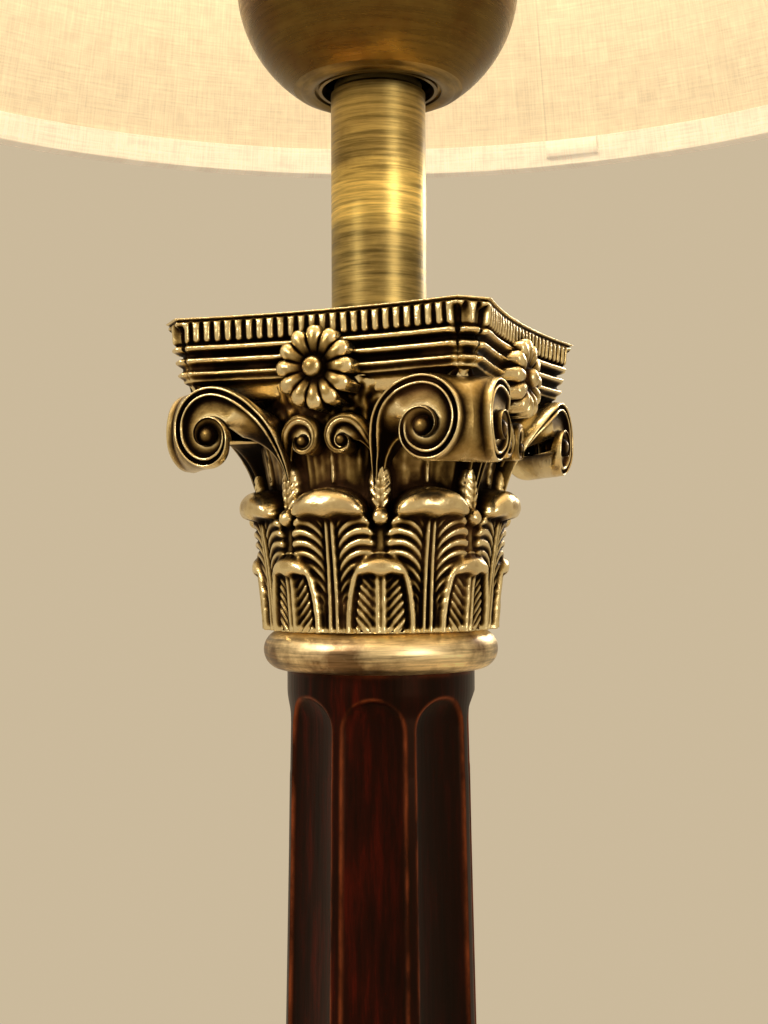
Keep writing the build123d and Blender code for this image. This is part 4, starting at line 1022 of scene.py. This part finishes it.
# ---------------------------------------------------------------- stage, lights and camera
def floor_disc(name, radius, colour):
    """A pale floor that fades out at its rim, so that no horizon shows, and is clear from
    below, so that it doesn't hide the foot."""
    material, tree, shader = new_material(name)
    place = object_place(tree)
    fine = noise_node(tree, place, 60.0, 5.0)
    tone = ramp(tree, fine, [(0.3, [c * 0.97 for c in colour]), (0.7, colour)])
    tree.links.new(tone, shader.inputs["Base Color"])
    shader.inputs["Roughness"].default_value = 0.9
    length = node(tree, "ShaderNodeVectorMath", operation="LENGTH")
    tree.links.new(place, length.inputs[0])
    share = math_node(tree, "DIVIDE", length.outputs["Value"], radius)
    from_below = node(tree, "ShaderNodeNewGeometry").outputs["Backfacing"]
    solid = ramp(tree, math_node(tree, "ADD", share, from_below), [(0.60, 1.0), (0.97, 0.0)])
    tree.links.new(solid, shader.inputs["Alpha"])
    count, gap = 96, 0.0002       # the gap keeps the floor off the felt's lower face
    points = [(radius * math.cos(t), radius * math.sin(t), -gap)
              for t in np.linspace(0, math.tau, count, endpoint=False)]
    mesh = bpy.data.meshes.new(name)
    mesh.from_pydata(points, [], [list(range(count))])
    mesh.materials.append(material)
    obj = bpy.data.objects.new(name, mesh)
    bpy.context.scene.collection.objects.link(obj)


def area_light(name, place, energy, size, colour):
    """A soft square lamp that points at the lamp's middle."""
    data = bpy.data.lights.new(name, "AREA")
    data.energy = energy
    data.size = size
    data.color = colour
    obj = bpy.data.objects.new(name, data)
    bpy.context.scene.collection.objects.link(obj)
    obj.location = place
    direction = Vector((0.0, 0.0, 0.38)) - Vector(place)
    obj.rotation_euler = direction.to_track_quat("-Z", "Y").to_euler()


def glow_light(name, place):
    """A small warm lamp inside the shade."""
    data = bpy.data.lights.new(name, "POINT")
    data.energy = 0.34
    data.shadow_soft_size = 0.03
    data.color = (1.0, 0.90, 0.69)
    obj = bpy.data.objects.new(name, data)
    bpy.context.scene.collection.objects.link(obj)
    obj.location = place


floor_disc("floor", 0.66, (0.62, 0.52, 0.38))
area_light("key", (-0.70, -1.15, 1.05), 13.0, 0.35, (1.0, 0.93, 0.82))
area_light("fill", (1.25, -0.75, 0.60), 6.0, 0.5, (1.0, 0.92, 0.80))
area_light("back", (0.35, 1.35, 0.95), 10.0, 0.5, (1.0, 0.93, 0.82))

# The bulb's glow comes from four lamps round it, clear of the bulb's own glass.
glow_reach, glow_height = 0.075, 0.600
for k in range(4):
    turned = math.radians(45 + 90 * k)
    glow_light("bulb_light_%d" % k, (glow_reach * math.cos(turned),
                                     glow_reach * math.sin(turned), glow_height))

# Camera, metal and glass see the pale ground in full. It lights the rest at a lower level.
ground_light = 0.55
world = bpy.data.worlds.new("studio")
bpy.context.scene.world = world
world.use_nodes = True
sky = world.node_tree
background = sky.nodes["Background"]
background.inputs["Color"].default_value = (0.60, 0.49, 0.33, 1.0)
rays = sky.nodes.new("ShaderNodeLightPath").outputs
seen = math_node(sky, "MAXIMUM", rays["Is Camera Ray"], rays["Is Glossy Ray"])
seen = math_node(sky, "MAXIMUM", seen, rays["Is Transmission Ray"])
strength = math_node(sky, "MULTIPLY", seen, 1.0 - ground_light)
sky.links.new(math_node(sky, "ADD", strength, ground_light), background.inputs["Strength"])

# The photo's camera, fitted to the edges of the capital, the shade and the column.
azimuth = math.radians(22.5)
distance, height = 0.3183, 0.3459
tilt, roll, swing = math.radians(92.24), math.radians(0.3), math.radians(0.146)
camera_data = bpy.data.cameras.new("camera")
camera_data.lens = 48.2
camera_data.sensor_width = 36.0
camera_data.clip_start = 0.01
camera = bpy.data.objects.new("camera", camera_data)
bpy.context.scene.collection.objects.link(camera)
bpy.context.scene.camera = camera
camera.location = (math.sin(azimuth) * distance, -math.cos(azimuth) * distance, height)
camera.rotation_euler = (tilt, roll, azimuth - swing)

bpy.context.scene.view_settings.view_transform = "Standard"
